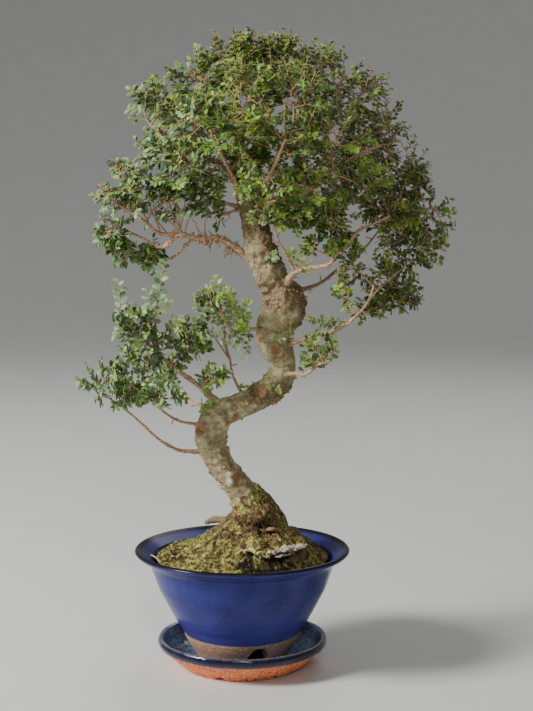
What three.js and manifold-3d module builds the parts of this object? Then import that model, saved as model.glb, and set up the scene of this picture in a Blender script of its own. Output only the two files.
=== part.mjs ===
// Seiju Chinese elm grown as an informal upright bonsai, in its glazed bowl on a saucer.
// Millimetres, +Z up, origin at the middle of the saucer's underside, the viewer at -Y.

import * as THREE from 'three';
import { mergeVertices } from 'three/addons/utils/BufferGeometryUtils.js';
import Module from 'manifold-3d';

const wasm = await Module();
wasm.setup();

// Driving dimensions
const SEAT_GAP = 0.3; // clearance between pieces that rest on or in one another
const TURN_STEPS = 28; // sides of the thrown pots

const SAUCER_RADIUS = 92;
const SAUCER_HEIGHT = 33;
const SAUCER_FLOOR = 10;
const SAUCER_FOOT_RADIUS = 64;

const POT_RADIUS = 116;
const POT_RIM_TOP = 128.5;
const POT_FOOT_Z = SAUCER_FLOOR + SEAT_GAP;
const POT_FOOT_RADIUS = 47.5;
const POT_FOOT_WIDTH = 8;
const POT_FOOT_TOP = [62, 36]; // radius and height where the tapered foot meets the bowl
const POT_FLOOR_UNDERSIDE = 33;
const POT_FLOOR_TOP = 39;
const DRAIN_HOLE_RADIUS = 9;
const FOOT_NOTCH_WIDTH = 19;
const FOOT_NOTCH_HEIGHT = 22;
const FOOT_NOTCH_ANGLES = [-76, 44, 164]; // degrees round the foot, the first near the front

const MESH_SIZE = 27;
const MESH_THICKNESS = 1;
const MESH_HOLE = 5;

const SOIL_EDGE_Z = 117; // where the soil meets the wall of the pot
const MOUND_RISE = 29; // how far the soil climbs towards the trunk
const MOUND_TOP_X = 16;
const MOUND_TOP_RADIUS = 20;
const MOSS_THICKNESS = 4;
const MOSS_EDGE_THICKNESS = 1.5;
const MOSS_SLOPE_WIDTH = 12; // over which it thins to its edge
const MOSS_CUSHION_HEIGHT = 1.3;
const MOSS_RADIUS = 92.5;
const MOUND_RINGS = [24, 44, 62, 79, MOSS_RADIUS];
const MOUND_STEPS = 20;

const LEAFLET_LENGTH = 11; // from the midrib of the shoot to the leaflet's tip
const LEAFLET_PITCH = 7;
const TIP_LEAFLET_LENGTH = 9.5;
const CROWN_LEAFLET_SCALE = 1.25; // the crown's fewer leaflets are larger, so that they cover it
const RIB_HALF_WIDTH = 0.8;
const RIB_HALF_THICKNESS = 0.8;
// Outlines as shares of the pitch or length run ahead, and of the length out from the rib
const LEAFLET_OUTLINE = [[0.06, 0.38], [0.74, 1], [1.06, 0.52]];
const TIP_OUTLINE = [[0.5, 0.42], [1, -0.04], [0.45, -0.42]];
const RIB_ARCH = 0.006; // how fast a shoot bends down along its rib
const LEAFLET_ARCH = 0.018; // and out to its sides
const STEM_RADIUS = 1.3;
const TWIG_RADII = [1.7, 1.4];
const LIMB_REACH = 46; // a limb that ends this near a spray's middle grows on to it
const SHOOTS = 3; // on each spray
const SHOOT_TRIES = 90;
const SHOOT_CLEARANCE = 0.5;
const CORE_SHARE = { crown: 0.56, low: 0.24 }; // the core's radius as a share of the spray's half-width
const CROWN_MIDDLE = new THREE.Vector3(30, 0, 500);

// The trunk's path, from inside the soil to the top of the leader: x, y, z, radius
const TRUNK = [
  [20, 2, 102, 20], [20, 0, 118, 25], [20, 0, 131, 27], [16, 0, 150, 26],
  [9, 0, 176, 19], [-2, -4, 193, 15.8], [-19, -9, 216, 13.7], [-31, -12, 238, 14.3],
  [-32, -12, 256, 16.3], [-24, -9, 273, 15.8], [-4, -5, 281, 13.2], [21, 0, 292, 13.3],
  [40, 7, 309, 14.4], [42, 8, 327, 14], [36, 8, 343, 17.5], [33, 7, 359, 18],
  [42, 4, 377, 21.5], [46, 2, 393, 20], [36, 0, 411, 15.5], [27, -2, 428, 15.5],
  [20, -3, 446, 15], [15, -2, 464, 13.1], [11, 0, 480, 11.5], [5, 3, 498, 9.4],
  [-1, 6, 514, 7.9], [-5, 7, 534, 6.3], [-2, 8, 560, 4.7], [9, 8, 588, 3.6], [15, 8, 612, 2.6],
];

const TRUNK_SIDES = 11;
const TRUNK_RINGS = 28;

// Roots that lie on the mound before they dive: x, y, z, then the radius at each end
const ROOTS = {
  front: {
    path: [[22, -6, 132], [46, -20, 133], [62, -38, 130], [50, -58, 128], [24, -68, 127], [0, -70, 120]],
    ends: [10, 4],
  },
  left: { path: [[10, 0, 136], [-20, -14, 137], [-42, -26, 120]], ends: [14, 5] },
  right: { path: [[26, 4, 136], [52, 12, 136], [70, 22, 118]], ends: [14, 5] },
  stub: { path: [[10, 6, 138], [-18, 24, 147], [-43, 38, 143]], ends: [9, 4] },
};

// Limbs, named for where they leave the trunk: the path and the radius at each end
const LIMBS = {
  lowLeftLong: {
    path: [
      [-36, -12, 234], [-62, -22, 235], [-90, -36, 254], [-112, -42, 276], [-133, -46, 293], [-150, -48, 302],
    ],
    ends: [3.4, 1.5],
  },
  lowLeftMain: {
    path: [[-25, -8, 284], [-46, -12, 304], [-75, -18, 327], [-94, -18, 345], [-108, -18, 361]],
    ends: [4.4, 1.6],
  },
  lowLeftRise: { path: [[-91, -18, 342], [-98, -14, 368], [-94, -6, 394]], ends: [2.4, 1.4] },
  lowLeftMid: {
    path: [[-38, -14, 262], [-65, -30, 269], [-83, -44, 283], [-98, -54, 299]],
    ends: [3, 1.5],
  },
  lowLeftBack: { path: [[-30, -4, 279], [-53, 24, 281], [-68, 40, 292]], ends: [3.2, 1.5] },
  innerThin: { path: [[2, -1, 290], [-10, 4, 313], [-13, 6, 330], [-22, 4, 342]], ends: [2.2, 1.4] },
  midLeft: { path: [[26, -2, 360], [-3, -20, 361], [-14, -24, 368], [-22, -28, 382]], ends: [3.4, 1.4] },
  rightLow: { path: [[44, 0, 314], [67, -22, 317], [79, -28, 326]], ends: [4, 1.5] },
  rightMid: {
    path: [[44, 2, 344], [62, -10, 351], [96, -16, 361], [115, -16, 374], [126, -16, 385], [143, -12, 400]],
    ends: [3.6, 1.6],
  },
  rightMidTwin: { path: [[96, -16, 361], [112, -24, 372], [122, -28, 382]], ends: [2, 1.4] },
  rightUpper: {
    path: [[44, -6, 405], [55, -20, 425], [84, -34, 431], [99, -40, 448], [113, -44, 460], [132, -42, 470]],
    ends: [5.6, 1.6],
  },
  rightFork: { path: [[55, -20, 425], [46, -26, 443], [38, -34, 460]], ends: [2.2, 1.4] },
  rightBack: {
    path: [[50, 8, 399], [83, 40, 408], [106, 58, 424], [123, 68, 436], [142, 72, 452]],
    ends: [4.6, 1.6],
  },
  leftUpper: {
    path: [
      [14, -3, 444], [-10, -6, 454], [-40, -14, 457], [-66, -20, 462], [-97, -24, 474], [-118, -27, 488],
    ],
    ends: [5.2, 1.6],
  },
  leftUpperLow: {
    path: [[-66, -20, 462], [-83, -14, 451], [-103, -12, 459], [-118, -14, 465]],
    ends: [2.6, 1.4],
  },
  leftUpperBack: { path: [[-46, -16, 459], [-62, 0, 446], [-76, 4, 440]], ends: [2.2, 1.4] },
  leftStub: { path: [[3, 0, 489], [-23, -8, 497], [-38, -14, 502]], ends: [3.2, 1.8] },
  crownLeft: { path: [[1, 0, 503], [-14, -6, 527], [-48, -12, 550], [-72, -14, 564]], ends: [4.6, 1.6] },
  crownUpLeft: { path: [[-4, 6, 524], [-14, 4, 550], [-24, -4, 575], [-34, -8, 594]], ends: [3.6, 1.6] },
  crownUpRight: {
    path: [[18, 0, 468], [45, 4, 508], [63, 6, 540], [80, 6, 571], [84, 4, 596]],
    ends: [6, 2],
  },
  crownRight: { path: [[37, 2, 496], [71, -6, 514], [102, -8, 534], [124, -4, 546]], ends: [4.2, 1.6] },
  crownRightLow: { path: [[84, -7, 522], [112, 6, 508], [136, 10, 500], [160, 10, 488]], ends: [2.6, 1.6] },
  crownFront: { path: [[14, -4, 481], [21, -40, 506], [30, -66, 530], [36, -76, 548]], ends: [4.2, 1.6] },
  crownBack: { path: [[8, 4, 487], [14, 50, 514], [19, 72, 536], [24, 80, 556]], ends: [4.2, 1.6] },
  frontLeft: { path: [[5, 0, 496], [-16, -46, 530], [-24, -58, 552]], ends: [3.2, 1.5] },
  frontRight: { path: [[31, 0, 487], [60, -44, 503], [84, -58, 522]], ends: [3.4, 1.5] },
  backLeft: { path: [[4, 6, 503], [-24, 44, 530], [-38, 56, 548]], ends: [3.2, 1.5] },
  backRight: { path: [[40, 4, 500], [62, 46, 519], [86, 66, 540]], ends: [3.6, 1.5] },
};

// Middles of the leafy sprays and the size of each: x, y, z, half-width
const CROWN_SPRAYS = [
  [-24, 2, 615, 40], [30, 0, 625, 40], [84, 0, 613, 40], [126, 2, 584, 40], [150, 4, 542, 40],
  [182, 6, 496, 38], [182, 8, 450, 38], [144, 8, 412, 36], [-71, 0, 585, 38], [-67, 4, 530, 36],
  [-20, -60, 585, 40], [36, -64, 596, 40], [90, -58, 582, 40], [-44, -52, 540, 38], [10, -84, 542, 40],
  [66, -84, 540, 40], [124, -54, 528, 38], [40, -64, 488, 36], [100, -56, 476, 36],
  [-20, 60, 588, 40], [34, 66, 598, 40], [90, 60, 586, 40], [-42, 58, 540, 38], [14, 88, 544, 40],
  [70, 86, 536, 40], [126, 60, 522, 38], [138, 60, 460, 36],
];
const LOW_SPRAYS = [
  [-136, -22, 503, 24], [-100, -32, 514, 24], [-62, -22, 496, 22], [-142, -10, 468, 22], [-92, 8, 440, 24],
  [-143, -48, 316, 24], [-112, -26, 332, 26], [-118, -18, 386, 26], [-80, -8, 372, 27], [-90, -2, 416, 22],
  [-46, -6, 346, 27], [-80, -50, 304, 24], [-52, 26, 322, 24], [-27, -30, 402, 24],
  [86, -34, 338, 22], [122, -34, 396, 20], [-84, 52, 312, 24],
];

const COLOURS = {
  saucer: 0x27304a, pot: 0x20338a, mesh: 0x2b2b29, soil: 0x3d3024, moss: 0x6f7330,
  bark: 0x8c8265, leaf: 0x55793a, shade: 0x3f5f30,
};

// Seeded random numbers from 0 to 1
function randomFrom(seed) {
  let state = seed;
  return () => {
    state = (state + 0x6d2b79f5) | 0;
    let mixed = Math.imul(state ^ (state >>> 15), 1 | state);
    mixed = (mixed + Math.imul(mixed ^ (mixed >>> 7), 61 | mixed)) ^ mixed;
    return ((mixed ^ (mixed >>> 14)) >>> 0) / 4294967296;
  };
}

function vector(point) {
  return new THREE.Vector3(point[0], point[1], point[2]);
}

function toSolid(geometry) {
  const bare = geometry.clone();
  bare.deleteAttribute('normal');
  bare.deleteAttribute('uv');
  const merged = mergeVertices(bare, 1e-4);
  return new wasm.Manifold(new wasm.Mesh({
    numProp: 3,
    vertProperties: new Float32Array(merged.attributes.position.array),
    triVerts: new Uint32Array(merged.index.array),
  }));
}

function toGeometry(solid) {
  const mesh = solid.getMesh();
  const geometry = new THREE.BufferGeometry();
  geometry.setAttribute('position', new THREE.BufferAttribute(mesh.vertProperties, 3));
  geometry.setIndex(new THREE.BufferAttribute(mesh.triVerts, 1));
  geometry.computeVertexNormals();
  return geometry;
}

function fromTriangles(points, faces) {
  const geometry = new THREE.BufferGeometry();
  const flat = points.flatMap((point) => [point.x, point.y, point.z]);
  geometry.setAttribute('position', new THREE.Float32BufferAttribute(flat, 3));
  geometry.setIndex(faces.flat());
  return geometry;
}

// A half profile of radius and height, from the axis outwards and back, turned about Z
function turned(profile, steps = TURN_STEPS) {
  const points = profile.map(([radius, height]) => new THREE.Vector2(radius, height));
  return new THREE.LatheGeometry(points, steps).rotateX(Math.PI / 2);
}

function smoothPath(points) {
  return new THREE.CatmullRomCurve3(points.map(vector), false, 'centripetal');
}

// A round limb that tapers along its path. Grow widens and lengthens it, for the hole it stands in.
function limb(path, radii, sides, rings, grow = 0) {
  const curve = smoothPath(path);
  const centres = curve.getSpacedPoints(rings);
  const tangents = centres.map((centre, ring) => (
    centres[Math.min(ring + 1, rings)].clone().sub(centres[Math.max(ring - 1, 0)]).normalize()));
  const normal = new THREE.Vector3(1, 0.2, 0.1);
  const vertices = [];
  centres.forEach((centre, ring) => {
    const share = curve.getUtoTmapping(ring / rings) * (radii.length - 1);
    const before = Math.min(Math.floor(share), radii.length - 2);
    const radius = THREE.MathUtils.lerp(radii[before], radii[before + 1], share - before) + grow;
    if (ring === 0) centre.addScaledVector(tangents[0], -grow);
    if (ring === rings) centre.addScaledVector(tangents[rings], grow);
    normal.addScaledVector(tangents[ring], -normal.dot(tangents[ring])).normalize();
    const binormal = new THREE.Vector3().crossVectors(tangents[ring], normal);
    for (let side = 0; side < sides; side += 1) {
      const angle = (side / sides) * Math.PI * 2;
      vertices.push(centre.clone()
        .addScaledVector(normal, Math.cos(angle) * radius)
        .addScaledVector(binormal, Math.sin(angle) * radius));
    }
  });
  const faces = [];
  for (let ring = 0; ring < rings; ring += 1) {
    for (let side = 0; side < sides; side += 1) {
      const a = ring * sides + side;
      const b = ring * sides + ((side + 1) % sides);
      faces.push([a, b, b + sides], [a, b + sides, a + sides]);
    }
  }
  const last = rings * sides;
  for (let side = 1; side < sides - 1; side += 1) {
    faces.push([0, side + 1, side], [last, last + side, last + side + 1]);
  }
  return toSolid(fromTriangles(vertices, faces));
}

function taperedLimb({ path, ends }, sides, grow = 0) {
  const radii = path.map((_, index) => THREE.MathUtils.lerp(ends[0], ends[1], index / (path.length - 1)));
  return limb(path, radii, sides, path.length - 1, grow);
}

function joined(solids) {
  return wasm.Manifold.union(solids);
}

function largestBody(solid) {
  return solid.decompose().reduce((best, body) => (body.volume() > best.volume() ? body : best));
}

// Unglazed foot, flared wall, rolled rim and a well round the pot's foot
function saucer() {
  const rim = SAUCER_RADIUS;
  return turned([
    [0, 0], [SAUCER_FOOT_RADIUS, 0], [70, 5], [rim - 8, 19], [rim - 2, 22], [rim, 28],
    [rim - 3, SAUCER_HEIGHT], [rim - 7, 30], [rim - 12, 19], [rim - 20, 12],
    [rim - 28, SAUCER_FLOOR], [0, SAUCER_FLOOR],
  ]);
}

const POT_INSIDE = [[50, POT_FLOOR_TOP], [64, 47], [74, 64], [87, 96], [97, 119]];

function potBowl() {
  const foot = POT_FOOT_RADIUS;
  const wall = turned([
    [DRAIN_HOLE_RADIUS, POT_FLOOR_UNDERSIDE], [foot - POT_FOOT_WIDTH, POT_FLOOR_UNDERSIDE],
    [foot - POT_FOOT_WIDTH, POT_FOOT_Z], [foot, POT_FOOT_Z], POT_FOOT_TOP, [73, 49], [81, 64], [91, 85],
    [99, 115], [POT_RADIUS - 2, 123], [POT_RADIUS, 126], [POT_RADIUS - 3, POT_RIM_TOP],
    [POT_RADIUS - 8, 125], ...POT_INSIDE.slice().reverse(),
    [DRAIN_HOLE_RADIUS, POT_FLOOR_TOP], [DRAIN_HOLE_RADIUS, POT_FLOOR_UNDERSIDE],
  ]);
  return FOOT_NOTCH_ANGLES.reduce((bowl, angle) => bowl.subtract(footNotch(angle)), toSolid(wall));
}

// A round-topped slot through the foot ring, so that water can drain away
function footNotch(degrees) {
  const half = FOOT_NOTCH_WIDTH / 2;
  const springing = POT_FOOT_Z + FOOT_NOTCH_HEIGHT - half;
  const arch = new THREE.Shape();
  arch.moveTo(-half, POT_FOOT_Z - 2);
  arch.lineTo(half, POT_FOOT_Z - 2);
  arch.lineTo(half, springing);
  arch.absarc(0, springing, half, 0, Math.PI, false);
  const depth = POT_FOOT_TOP[0] - POT_FOOT_RADIUS + POT_FOOT_WIDTH + 4;
  const slot = new THREE.ExtrudeGeometry(arch, { depth, bevelEnabled: false, curveSegments: 5 });
  slot.rotateX(Math.PI / 2).translate(0, POT_FOOT_TOP[0] + 2, 0);
  slot.rotateZ(THREE.MathUtils.degToRad(degrees - 90));
  return toSolid(slot);
}

// The perforated plate that keeps the soil from washing out of the drain hole
function drainMesh() {
  const plate = toSolid(new THREE.BoxGeometry(MESH_SIZE, MESH_SIZE, MESH_THICKNESS)
    .translate(0, 0, POT_FLOOR_TOP + SEAT_GAP + MESH_THICKNESS / 2));
  const holes = [-1, 0, 1].flatMap((column) => [-1, 0, 1].map((row) => (
    toSolid(new THREE.BoxGeometry(MESH_HOLE, MESH_HOLE, 4)
      .translate(column * MESH_HOLE * 1.6, row * MESH_HOLE * 1.6, POT_FLOOR_TOP + SEAT_GAP)))));
  return plate.subtract(joined(holes));
}

// Height of the mound: it climbs to the trunk's foot and is a little uneven
function moundHeight(x, y) {
  const fromTrunk = Math.max(Math.hypot(x - MOUND_TOP_X, y) - MOUND_TOP_RADIUS, 0);
  const fromWall = MOSS_RADIUS - Math.hypot(x, y);
  const climb = THREE.MathUtils.smoothstep(fromWall / (fromWall + fromTrunk), 0, 1);
  const uneven = 1.2 * Math.sin(x / 13 + y / 21) * Math.cos(y / 12 - x / 27) * climb;
  return SOIL_EDGE_Z + MOUND_RISE * climb ** 1.15 + uneven;
}

// A closed disc: rings of one height rule on top, rings of another below, and a rim between
function domed(topRings, topHeight, underRings, underHeight) {
  const points = [];
  const layer = (rings, height) => {
    const first = points.length;
    points.push(new THREE.Vector3(0, 0, height(0, 0)));
    for (const radius of rings) {
      for (let step = 0; step < MOUND_STEPS; step += 1) {
        const angle = (step / MOUND_STEPS) * Math.PI * 2;
        const x = radius * Math.cos(angle);
        const y = radius * Math.sin(angle);
        points.push(new THREE.Vector3(x, y, height(x, y)));
      }
    }
    return (ring, step) => first + 1 + ring * MOUND_STEPS + (step % MOUND_STEPS);
  };
  const top = layer(topRings, topHeight);
  const under = layer(underRings, underHeight);
  const faces = [];
  for (let step = 0; step < MOUND_STEPS; step += 1) {
    faces.push([0, top(0, step), top(0, step + 1)]);
    faces.push([under(0, 0) - 1, under(0, step + 1), under(0, step)]);
    for (let ring = 1; ring < topRings.length; ring += 1) {
      faces.push([top(ring - 1, step), top(ring, step), top(ring, step + 1)]);
      faces.push([top(ring - 1, step), top(ring, step + 1), top(ring - 1, step + 1)]);
    }
    for (let ring = 1; ring < underRings.length; ring += 1) {
      faces.push([under(ring - 1, step), under(ring, step + 1), under(ring, step)]);
      faces.push([under(ring - 1, step), under(ring - 1, step + 1), under(ring, step + 1)]);
    }
    const above = topRings.length - 1;
    const below = underRings.length - 1;
    faces.push([top(above, step), under(below, step), under(below, step + 1)]);
    faces.push([top(above, step), under(below, step + 1), top(above, step + 1)]);
  }
  return toSolid(fromTriangles(points, faces));
}

function soil(hole) {
  const facetDepth = Math.cos(Math.PI / TURN_STEPS); // the bowl's flats lie inside its corners
  const inner = POT_INSIDE.slice(0, -1).map(([radius, height]) => (
    [(radius - SEAT_GAP) * facetDepth, height + SEAT_GAP]));
  const wallHeight = (x, y) => {
    const radius = Math.hypot(x, y);
    const ring = inner.find(([one]) => radius < one + 0.1) ?? inner[0];
    return radius < 1 ? inner[0][1] : ring[1];
  };
  const mound = domed(MOUND_RINGS, moundHeight, inner.map(([radius]) => radius), wallHeight);
  const overMesh = MESH_SIZE + 2 * SEAT_GAP;
  const recess = new THREE.BoxGeometry(overMesh, overMesh, 4)
    .translate(0, 0, POT_FLOOR_TOP + MESH_THICKNESS + 2 * SEAT_GAP - 2);
  return largestBody(mound.subtract(hole).subtract(toSolid(recess)));
}

function moss(hole) {
  const cushion = (x, y) => Math.sin(x / 5.1 + 2 * Math.sin(y / 9)) * Math.cos(y / 4.7 + Math.sin(x / 8));
  const top = (x, y) => {
    const inside = THREE.MathUtils.smoothstep(MOSS_RADIUS - Math.hypot(x, y), 0, MOSS_SLOPE_WIDTH);
    const full = MOSS_THICKNESS + MOSS_CUSHION_HEIGHT * cushion(x, y);
    return moundHeight(x, y) + THREE.MathUtils.lerp(MOSS_EDGE_THICKNESS, full, inside);
  };
  const carpet = domed(MOUND_RINGS, top, MOUND_RINGS, (x, y) => moundHeight(x, y) + SEAT_GAP);
  return largestBody(carpet.subtract(hole));
}

// Points on the centre lines of the wood, as straight between rings as its solids are
function woodPoints(limbs) {
  const lines = [[TRUNK.slice(6), TRUNK_RINGS], ...limbs.map(({ path }) => [path, path.length - 1])];
  return lines.flatMap(([path, rings]) => {
    const centres = smoothPath(path).getSpacedPoints(rings);
    return centres.slice(1).flatMap((centre, index) => (
      [0.25, 0.5, 0.75, 1].map((share) => centres[index].clone().lerp(centre, share))));
  });
}

// Carries every spray: a limb that ends near one grows on to it, and a twig from the nearest
// wood takes each of the others. Either stops just outside the spray's core.
function carry(plans, limbs) {
  const free = new Set(limbs);
  const pairs = plans.flatMap((plan) => limbs.map((one) => (
    { plan, one, gap: vector(one.path.at(-1)).distanceTo(plan.middle) })));
  const near = pairs.filter(({ gap }) => gap < LIMB_REACH).sort((one, two) => one.gap - two.gap);
  for (const { plan, one } of near) {
    if (!plan.foot && free.has(one)) {
      const tip = vector(one.path.at(-1));
      plan.foot = footOf(plan, tip);
      plan.direction = plan.foot.clone().sub(tip).normalize();
      one.path = [...one.path, plan.foot.toArray()];
      free.delete(one);
    }
  }
  const wood = woodPoints(limbs);
  return plans.filter((plan) => !plan.foot).map((plan) => {
    const start = wood.reduce((best, point) => (
      point.distanceToSquared(plan.middle) < best.distanceToSquared(plan.middle) ? point : best));
    plan.foot = footOf(plan, start);
    const bend = start.clone().lerp(plan.foot, 0.5).add(new THREE.Vector3(0, 0, -2));
    plan.direction = plan.foot.clone().sub(bend).normalize();
    const root = start.clone().addScaledVector(bend.clone().sub(start).normalize(), -2);
    return { path: [root, bend, plan.foot].map((point) => point.toArray()), ends: TWIG_RADII };
  });
}

function footOf(plan, from) {
  const span = plan.middle.clone().sub(from);
  const share = Math.max(1 - (plan.core + 2) / span.length(), 0.35);
  return from.clone().addScaledVector(span, share);
}

function wholeTree(limbs, twigs, grow) {
  const trunk = limb(TRUNK, TRUNK.map((row) => row[3]), TRUNK_SIDES, TRUNK_RINGS, grow);
  const branches = limbs.map((one) => taperedLimb(one, 4, grow));
  const roots = Object.values(ROOTS).map((root) => taperedLimb(root, 5, grow));
  const thin = twigs.map((one) => taperedLimb(one, 3, grow));
  return joined([trunk, ...branches, ...roots, ...thin]);
}

// A leafy shoot as one thin arched blade cut to the rib: a bare foot, alternate oval leaflets and
// one leaflet at the tip. Along is the run of the rib, face is the side that looks at the light.
function shoot(base, along, face, { bare, leaflets, scale }) {
  const side = new THREE.Vector3().crossVectors(along, face).normalize();
  const up = new THREE.Vector3().crossVectors(side, along).normalize();
  const pitch = LEAFLET_PITCH * scale;
  const length = LEAFLET_LENGTH * scale;
  const tipLength = TIP_LEAFLET_LENGTH * scale;
  const points = [];
  const add = (run, out, lift = 0) => points.push(base.clone()
    .addScaledVector(along, run)
    .addScaledVector(side, out)
    .addScaledVector(up, lift - RIB_ARCH * run * run - LEAFLET_ARCH * out * out)) - 1;
  const faces = [];
  // The same triangle on the upper and the under face, from ridge points to the outline
  const pair = (hand, corners) => {
    const [upper, lower] = [corners.map((one) => one[0]), corners.map((one) => one[1])];
    faces.push(hand > 0 ? upper : upper.reverse(), hand > 0 ? lower.reverse() : lower);
  };
  const runs = [0];
  for (let node = 0; node <= leaflets; node += 1) runs.push(bare + node * pitch);
  const ridge = runs.map((run) => [add(run, 0, RIB_HALF_THICKNESS), add(run, 0, -RIB_HALF_THICKNESS)]);
  const edge = (run, out) => {
    const index = add(run, out);
    return [index, index];
  };
  const ends = [1, -1].map((hand) => {
    const stagger = hand > 0 ? 0.5 : 0;
    const first = edge(0, hand * RIB_HALF_WIDTH);
    let notch = edge(bare + stagger * pitch, hand * RIB_HALF_WIDTH);
    pair(hand, [ridge[0], first, notch]);
    pair(hand, [ridge[0], notch, ridge[1]]);
    if (hand > 0) pair(hand, [ridge[1], notch, ridge[2]]);
    for (let one = 0; one < leaflets - (hand > 0 ? 1 : 0); one += 1) {
      const spine = one + (hand > 0 ? 2 : 1);
      const start = bare + (one + stagger) * pitch;
      const outline = LEAFLET_OUTLINE.map(([ahead, out]) => (
        edge(start + ahead * pitch, hand * (RIB_HALF_WIDTH + out * length))));
      const after = edge(start + pitch, hand * RIB_HALF_WIDTH);
      const chain = [notch, ...outline, after];
      chain.slice(1).forEach((next, step) => pair(hand, [ridge[spine], chain[step], next]));
      if (spine < ridge.length - 1) pair(hand, [ridge[spine], after, ridge[spine + 1]]);
      notch = after;
    }
    return { first, notch };
  });
  const [right, left] = ends;
  const tip = TIP_OUTLINE.map(([ahead, out]) => (
    edge(runs.at(-1) + ahead * tipLength, out * tipLength)));
  const round = [right.notch, ...tip, left.notch];
  round.slice(1).forEach((next, step) => pair(1, [ridge.at(-1), round[step], next]));
  faces.push([ridge[0][0], ridge[0][1], right.first[0]], [ridge[0][0], left.first[0], ridge[0][1]]);
  return toSolid(fromTriangles(points, faces));
}

// The dense middle of a spray, an uneven lump that the shoots stand out of. A low spray has
// only the knot where its shoots meet.
function sprayCore({ middle, core: radius, crown, seed }) {
  const random = randomFrom(seed + 5);
  const lump = crown ? new THREE.IcosahedronGeometry(1, 0) : new THREE.OctahedronGeometry(1, 0);
  lump.rotateX(random() * 6).rotateY(random() * 6);
  lump.deleteAttribute('normal');
  lump.deleteAttribute('uv');
  const merged = mergeVertices(lump, 1e-3);
  const { position } = merged.attributes;
  for (let index = 0; index < position.count; index += 1) {
    const stretch = radius * (0.82 + 0.34 * random());
    position.setXYZ(index, position.getX(index) * stretch, position.getY(index) * stretch,
      position.getZ(index) * stretch * 0.86);
  }
  merged.translate(middle.x, middle.y, middle.z);
  return toSolid(merged);
}

function stem(plan) {
  const start = plan.foot.clone().addScaledVector(plan.direction, SEAT_GAP);
  return limb([start.toArray(), plan.middle.toArray()], [STEM_RADIUS, STEM_RADIUS], 3, 1);
}

// The shoots of one spray. Each leaves the core slantwise with its leaves facing out, and is kept
// only where it is clear of the wood and of everything on the other sprays.
function shoots(spray, obstacles) {
  const random = randomFrom(spray.seed);
  const outward = spray.middle.clone().sub(spray.crown ? CROWN_MIDDLE : spray.foot).normalize();
  const anyWay = () => new THREE.Vector3(random() - 0.5, random() - 0.5, random() - 0.42).normalize();
  const blades = [];
  for (let attempt = 0; attempt < SHOOT_TRIES && blades.length < SHOOTS; attempt += 1) {
    const leader = blades.length === 0; // the first shoot points straight out
    const away = anyWay().addScaledVector(outward, spray.crown ? 0.9 : 0.5).normalize();
    const slant = anyWay().projectOnPlane(away).normalize().addScaledVector(away, 0.62).normalize();
    const along = leader ? anyWay().multiplyScalar(0.25).add(outward).normalize() : slant;
    const face = leader ? anyWay().multiplyScalar(0.4).add(new THREE.Vector3(0, -0.5, 1)) : away;
    const base = spray.middle.clone().addScaledVector(leader ? along : away, spray.core * 0.55);
    const leaflets = spray.crown && !leader ? 3 : 2;
    const blade = shoot(base, along, face, { bare: spray.core * 0.4, leaflets, scale: spray.scale });
    const isClear = [...obstacles, ...blades].every((solid) => blade.minGap(solid, 1) > SHOOT_CLEARANCE);
    if (isClear) blades.push(blade);
  }
  return blades;
}

function sprayPlans() {
  const crown = CROWN_SPRAYS.map((row) => ({ row, crown: true }));
  const low = LOW_SPRAYS.map((row) => ({ row, crown: false }));
  return [...crown, ...low].map(({ row, crown: inCrown }, index) => ({
    name: `spray_${String(index + 1).padStart(2, '0')}`,
    middle: vector(row),
    crown: inCrown,
    core: row[3] * (inCrown ? CORE_SHARE.crown : CORE_SHARE.low),
    scale: inCrown ? CROWN_LEAFLET_SCALE : 1,
    seed: 311 + index * 17,
  }));
}

function material(colour, roughness) {
  return new THREE.MeshStandardMaterial({ color: colour, roughness, metalness: 0 });
}

function piece(name, geometry, finish) {
  const mesh = new THREE.Mesh(geometry, finish);
  mesh.name = name;
  return mesh;
}

const bonsai = new THREE.Group();
const plans = sprayPlans();
const limbs = Object.values(LIMBS).map((one) => ({ ...one }));
const twigs = carry(plans, limbs);
const tree = wholeTree(limbs, twigs, 0);
const treeRoom = wholeTree(limbs, twigs, SEAT_GAP);

bonsai.add(
  piece('saucer', saucer(), material(COLOURS.saucer, 0.2)),
  piece('pot', toGeometry(potBowl()), material(COLOURS.pot, 0.15)),
  piece('drain_mesh', toGeometry(drainMesh()), material(COLOURS.mesh, 0.6)),
  piece('soil', toGeometry(soil(treeRoom)), material(COLOURS.soil, 0.95)),
  piece('moss', toGeometry(moss(treeRoom)), material(COLOURS.moss, 0.95)),
  piece('trunk', toGeometry(tree), material(COLOURS.bark, 0.85)),
);

const hubs = plans.map((plan) => joined([sprayCore(plan), stem(plan)]));
const placed = [tree];
plans.forEach((plan, index) => {
  const blades = shoots(plan, [...placed, ...hubs.filter((_, other) => other !== index)]);
  placed.push(...blades);
  const body = largestBody(joined([hubs[index], ...blades]).subtract(treeRoom));
  bonsai.add(piece(plan.name, toGeometry(body), material(index % 2 ? COLOURS.leaf : COLOURS.shade, 0.6)));
});

export default bonsai;
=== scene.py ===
# Seiju Chinese elm bonsai in its glazed bowl: the glazes, the bark, the twigs, the leaves and the moss.
# Sizes are in millimetres, and metres turns them into Blender's unit where a mesh is made. Patterns read
# places in millimetres too, so a noise of scale 0.5 has spots about 2 mm wide.
import math

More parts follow.
